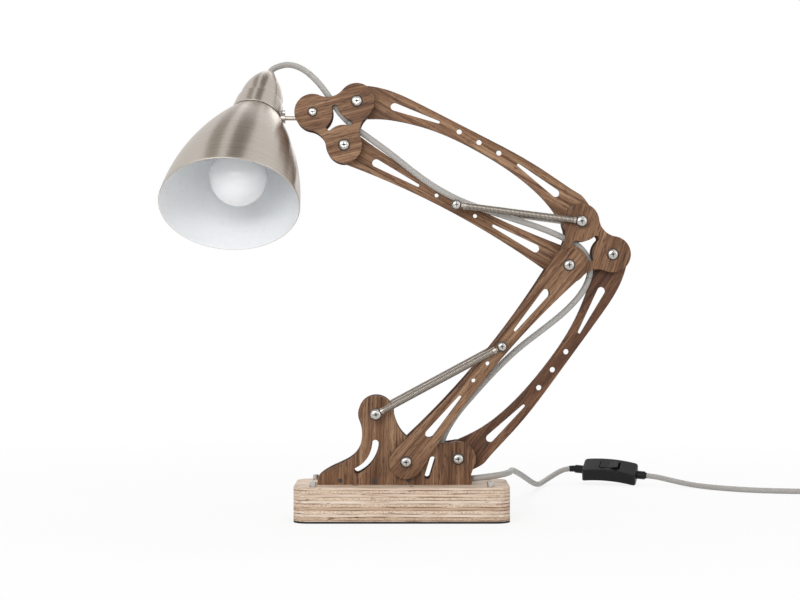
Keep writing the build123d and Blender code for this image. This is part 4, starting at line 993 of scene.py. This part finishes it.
def cross_and_rim(node, places):
    """Points and faces of painted shade on each head: a dark cross, and a flat dark ring of shadow under its
    rim.
    """
    points, faces = [], []
    for x, z in places:
        top, dome, rim, under = head_shape(node, x, z)
        for way, side in (((1, CROSS_LEAN), (-CROSS_LEAN, 1)), ((-CROSS_LEAN, 1), (-1, -CROSS_LEAN))):
            first = len(points)
            for i in range(CROSS_STEPS + 1):
                along = CROSS_ARM * rim * (2 * i / CROSS_STEPS - 1)
                for across in (-CROSS_HALF * rim, CROSS_HALF * rim):
                    u = (way[0] * along + side[0] * across) / CROSS_SIZE
                    v = (way[1] * along + side[1] * across) / CROSS_SIZE
                    lift = top + dome - math.sqrt(dome**2 - u**2 - v**2) - CROSS_LIFT
                    points.append((x * MM + u, lift, z * MM + v))
            starts = range(first, first + 2 * CROSS_STEPS, 2)
            faces += [(i, i + 2, i + 3, i + 1) for i in starts]
        first = len(points)
        for past, lift in RIM_RINGS:
            radius = rim + past * MM
            for k in range(RIM_SIDES):
                turn = 2 * math.pi * k / RIM_SIDES
                u, v = radius * math.cos(turn), radius * math.sin(turn)
                points.append((x * MM + u, under - lift * MM, z * MM + v))
        for low in (first, first + RIM_SIDES):
            for k in range(RIM_SIDES):
                a, b = low + k, low + (k + 1) % RIM_SIDES
                faces.append((a, b, b + RIM_SIDES, a + RIM_SIDES))
    return points, faces


# %% Painted shade on the screws
SPRING_POST, LOWER_SPRING_BOLT = (-26.5, 109.2), (102.66, 178.76)
ELBOW_TOP, UPPER_SPRING_BOLT = (185.0, 307.57), (56.17, 324.48)
# Dark coat for the painted shade: the crosses in the recesses and the rings of shadow round the heads.
screw_shade_paint = spotted_surface(
    "painted_screw_shade", ["#1B1917", "#2A2724"], 0.6, (0.425, 0.575), (0.4, 0.02), COATED
)
for node, body, places in (
    ("base_screws", "base", ((4.5, 60.1), (58.2, 62.7), SPRING_POST)),
    ("elbow_screws", "elbow", ((171.89, 262.44), (217.53, 273.65), ELBOW_TOP)),
    ("head_screws", "head", ((-59.54, 386.53), (-46.43, 431.66), (-92.07, 420.45))),
    ("lower_spring_pin", "lower_arm", (LOWER_SPRING_BOLT,)),
    ("upper_spring_pin", "upper_arm", (UPPER_SPRING_BOLT,)),
):
    points, faces = cross_and_rim(node, places)
    head_shade_marks = new_piece(f"{node}_recesses", points, faces, [screw_shade_paint])
    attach(head_shade_marks, body)
    print(node, len(places), "heads")

# %% [markdown]
# ## Springs
# Four extension springs balance the arm, two on each side. CAD draws them with a few open turns. The real
# ones are wound close from thin wire, so here each is a fine helix of wire 1.3 mm thick between the
# same two collars.


# %% Springs
SPRING_WIRE, SPRING_RADIUS, SPRING_STEPS = 1.3, 3.72, 14
NEAR_COLLAR, FAR_COLLAR = 8.6, 9.9  # from each screw to the end of the wire


def wound_spring(name, near, far, y, turns):
    """Fine helix from collar to collar, and its two ends; near and far are the screws' places in XZ."""
    start, end = Vector((near[0], y, near[1])), Vector((far[0], y, far[1]))
    axis = (end - start).normalized()
    across = Vector((0, 1, 0))
    up = across.cross(axis)
    start, end = start + axis * NEAR_COLLAR, end - axis * FAR_COLLAR
    radius = SPRING_RADIUS - SPRING_WIRE / 2
    steps = turns * SPRING_STEPS
    line = []
    for i in range(steps + 1):
        turn = 2 * math.pi * turns * i / steps
        out = (up * math.cos(turn) + across * math.sin(turn)) * radius
        line.append((start.lerp(end, i / steps) + out) * MM)
    points, faces, _ = closed_tube(rings_along(line, lambda share: SPRING_WIRE / 2 * MM, 8))
    return new_piece(name, points, faces, [spring_wire_steel]), start * MM, end * MM


for group, near, far, reach_y, turns in (
    ("lower_spring", SPRING_POST, LOWER_SPRING_BOLT, 27.65, 94),
    ("upper_spring", ELBOW_TOP, UPPER_SPRING_BOLT, 20.45, 82),
):
    for side, y in (("front", -reach_y), ("rear", reach_y)):
        coil, start, end = wound_spring(f"{group}_{side}_wire", near, far, y, turns)
        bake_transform(coil)
        if side == "front":
            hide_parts(f"{group}_coils")
    print(group, turns, "turns")

# %% [markdown]
# ## Shade
# The shade is spun from sheet: a bell, and a stepped cap on top. Each is a profile turned round the shade's
# axis. Its UV map counts turns round that axis, so the rings of the brush and the stretched reflections run
# round it. The mouth is cut at a slant, parallel to the rod: each line down the bell ends where it meets the
# plane of the cut. Outside is brushed nickel, inside white enamel.

# %% Bell of the shade
shade_side = Vector((0.98686, -0.09949, -0.12734)).normalized()
shade_third = shade_axis.cross(shade_side)


def on_shade(radius, turn, depth):
    """Point in metres at a radius and an angle round the shade's axis, at a depth below the cap, in mm."""
    out = shade_side * math.cos(turn) + shade_third * math.sin(turn)
    return (neck_foot + out * radius + shade_axis * depth) * MM


MOUTH_DEPTH, BELL_REACH, BELL_RADIUS, BELL_FLARE, SHELL = 130, 146, 70.6, 50.2, 0.9
MOUTH_SLANT = math.tan(math.radians(9.3))
MERIDIANS, STEPS, LIP, TOP_HOLE = 144, 40, 4, 16.9


def bell_radius(depth):
    """Outer radius of the bell at a depth below the cap."""
    return BELL_RADIUS - BELL_FLARE * (1 - depth / BELL_REACH) ** 2


bell_lines = []
for k in range(MERIDIANS):
    turn = 2 * math.pi * k / MERIDIANS
    reach = MOUTH_DEPTH
    for _ in range(20):
        reach = MOUTH_DEPTH - bell_radius(reach) * math.cos(turn) * MOUTH_SLANT
    line = [(bell_radius(reach * i / STEPS), reach * i / STEPS) for i in range(STEPS + 1)]
    lip_radius, lip_depth = line[-1]
    line[-1] = (lip_radius, lip_depth - SHELL / 2)
    for i in range(1, LIP):
        bend = math.pi * i / LIP
        inward, below = SHELL / 2 * (1 - math.cos(bend)), SHELL / 2 * (1 - math.sin(bend))
        line.append((lip_radius - inward, lip_depth - below))
    line.append((lip_radius - SHELL, lip_depth - SHELL / 2))
    for i in range(STEPS - 1, 0, -1):
        line.append((bell_radius(reach * i / STEPS) - SHELL, reach * i / STEPS))
    line.append((bell_radius(0) - SHELL, SHELL))
    line.append((TOP_HOLE, SHELL))
    line.append((TOP_HOLE, 0))
    bell_lines.append([on_shade(r, turn, h) for r, h in line])
bell_points, bell_faces, bell_uvs = spun(bell_lines, True)
bell_slots = [0 if i < STEPS + LIP - 1 else 1 for i in range(len(bell_lines[0]))] * MERIDIANS
bell_finishes = [brushed_nickel, white_enamel]
bell = new_piece("shade_bell_spun", bell_points, bell_faces, bell_finishes, bell_slots, bell_uvs)
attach(bell, "shade")
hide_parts("shade_bell")
print("bell faces", len(bell_faces))


# %% Cap on the shade
def arc_between(start, middle, end, count):
    """Points of a smooth bow through three points, without its last point."""
    first, last = Vector(start), Vector(end)
    pull = Vector(middle) * 2 - (first + last) / 2
    shares = [i / count for i in range(count)]
    return [first * (1 - t) ** 2 + pull * 2 * t * (1 - t) + last * t**2 for t in shares]


cap_profile = arc_between((26.8, 7.7), (25.8, -3.0), (24.75, -10.8), 14)
cap_profile += [(24.6, -11.5), (24.3, -12.1), (23.8, -12.6), (23.2, -12.95), (22.8, -13.3), (22.7, -13.8)]
cap_profile += arc_between((22.7, -14.2), (19.55, -33.5), (9.6, -52.4), 20)
cap_profile += [(9.3, -52.8), (8.8, -53.0), (5.0, -53.0), (5.0, -52.1), (8.6, -52.1)]
cap_profile += [(18.6, -33.5), (21.8, -13.6), (23.5, -12.0), (24.8, -3.5), (25.9, 7.7)]
cap_profile += [(26.1, 7.95), (26.6, 7.95)]
CAP_MERIDIANS = 120
cap_turns = [2 * math.pi * k / CAP_MERIDIANS for k in range(CAP_MERIDIANS)]
cap_lines = [[on_shade(r, turn, h) for r, h in cap_profile] for turn in cap_turns]
cap_points, cap_faces, cap_uvs = spun(cap_lines, True)
cap = new_piece("shade_cap_spun", cap_points, cap_faces, [brushed_nickel], None, cap_uvs)
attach(cap, "shade")
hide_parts("shade_neck")
print("cap faces", len(cap_faces))

# %% [markdown]
# ## Size
# The box round the dressed lamp, the studio left out, is printed in metres. The dressed lamp may not be
# bigger than the CAD model.

# %% Size
low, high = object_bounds()
print("visual", [round(x, 4) for x in (*low, *high)])
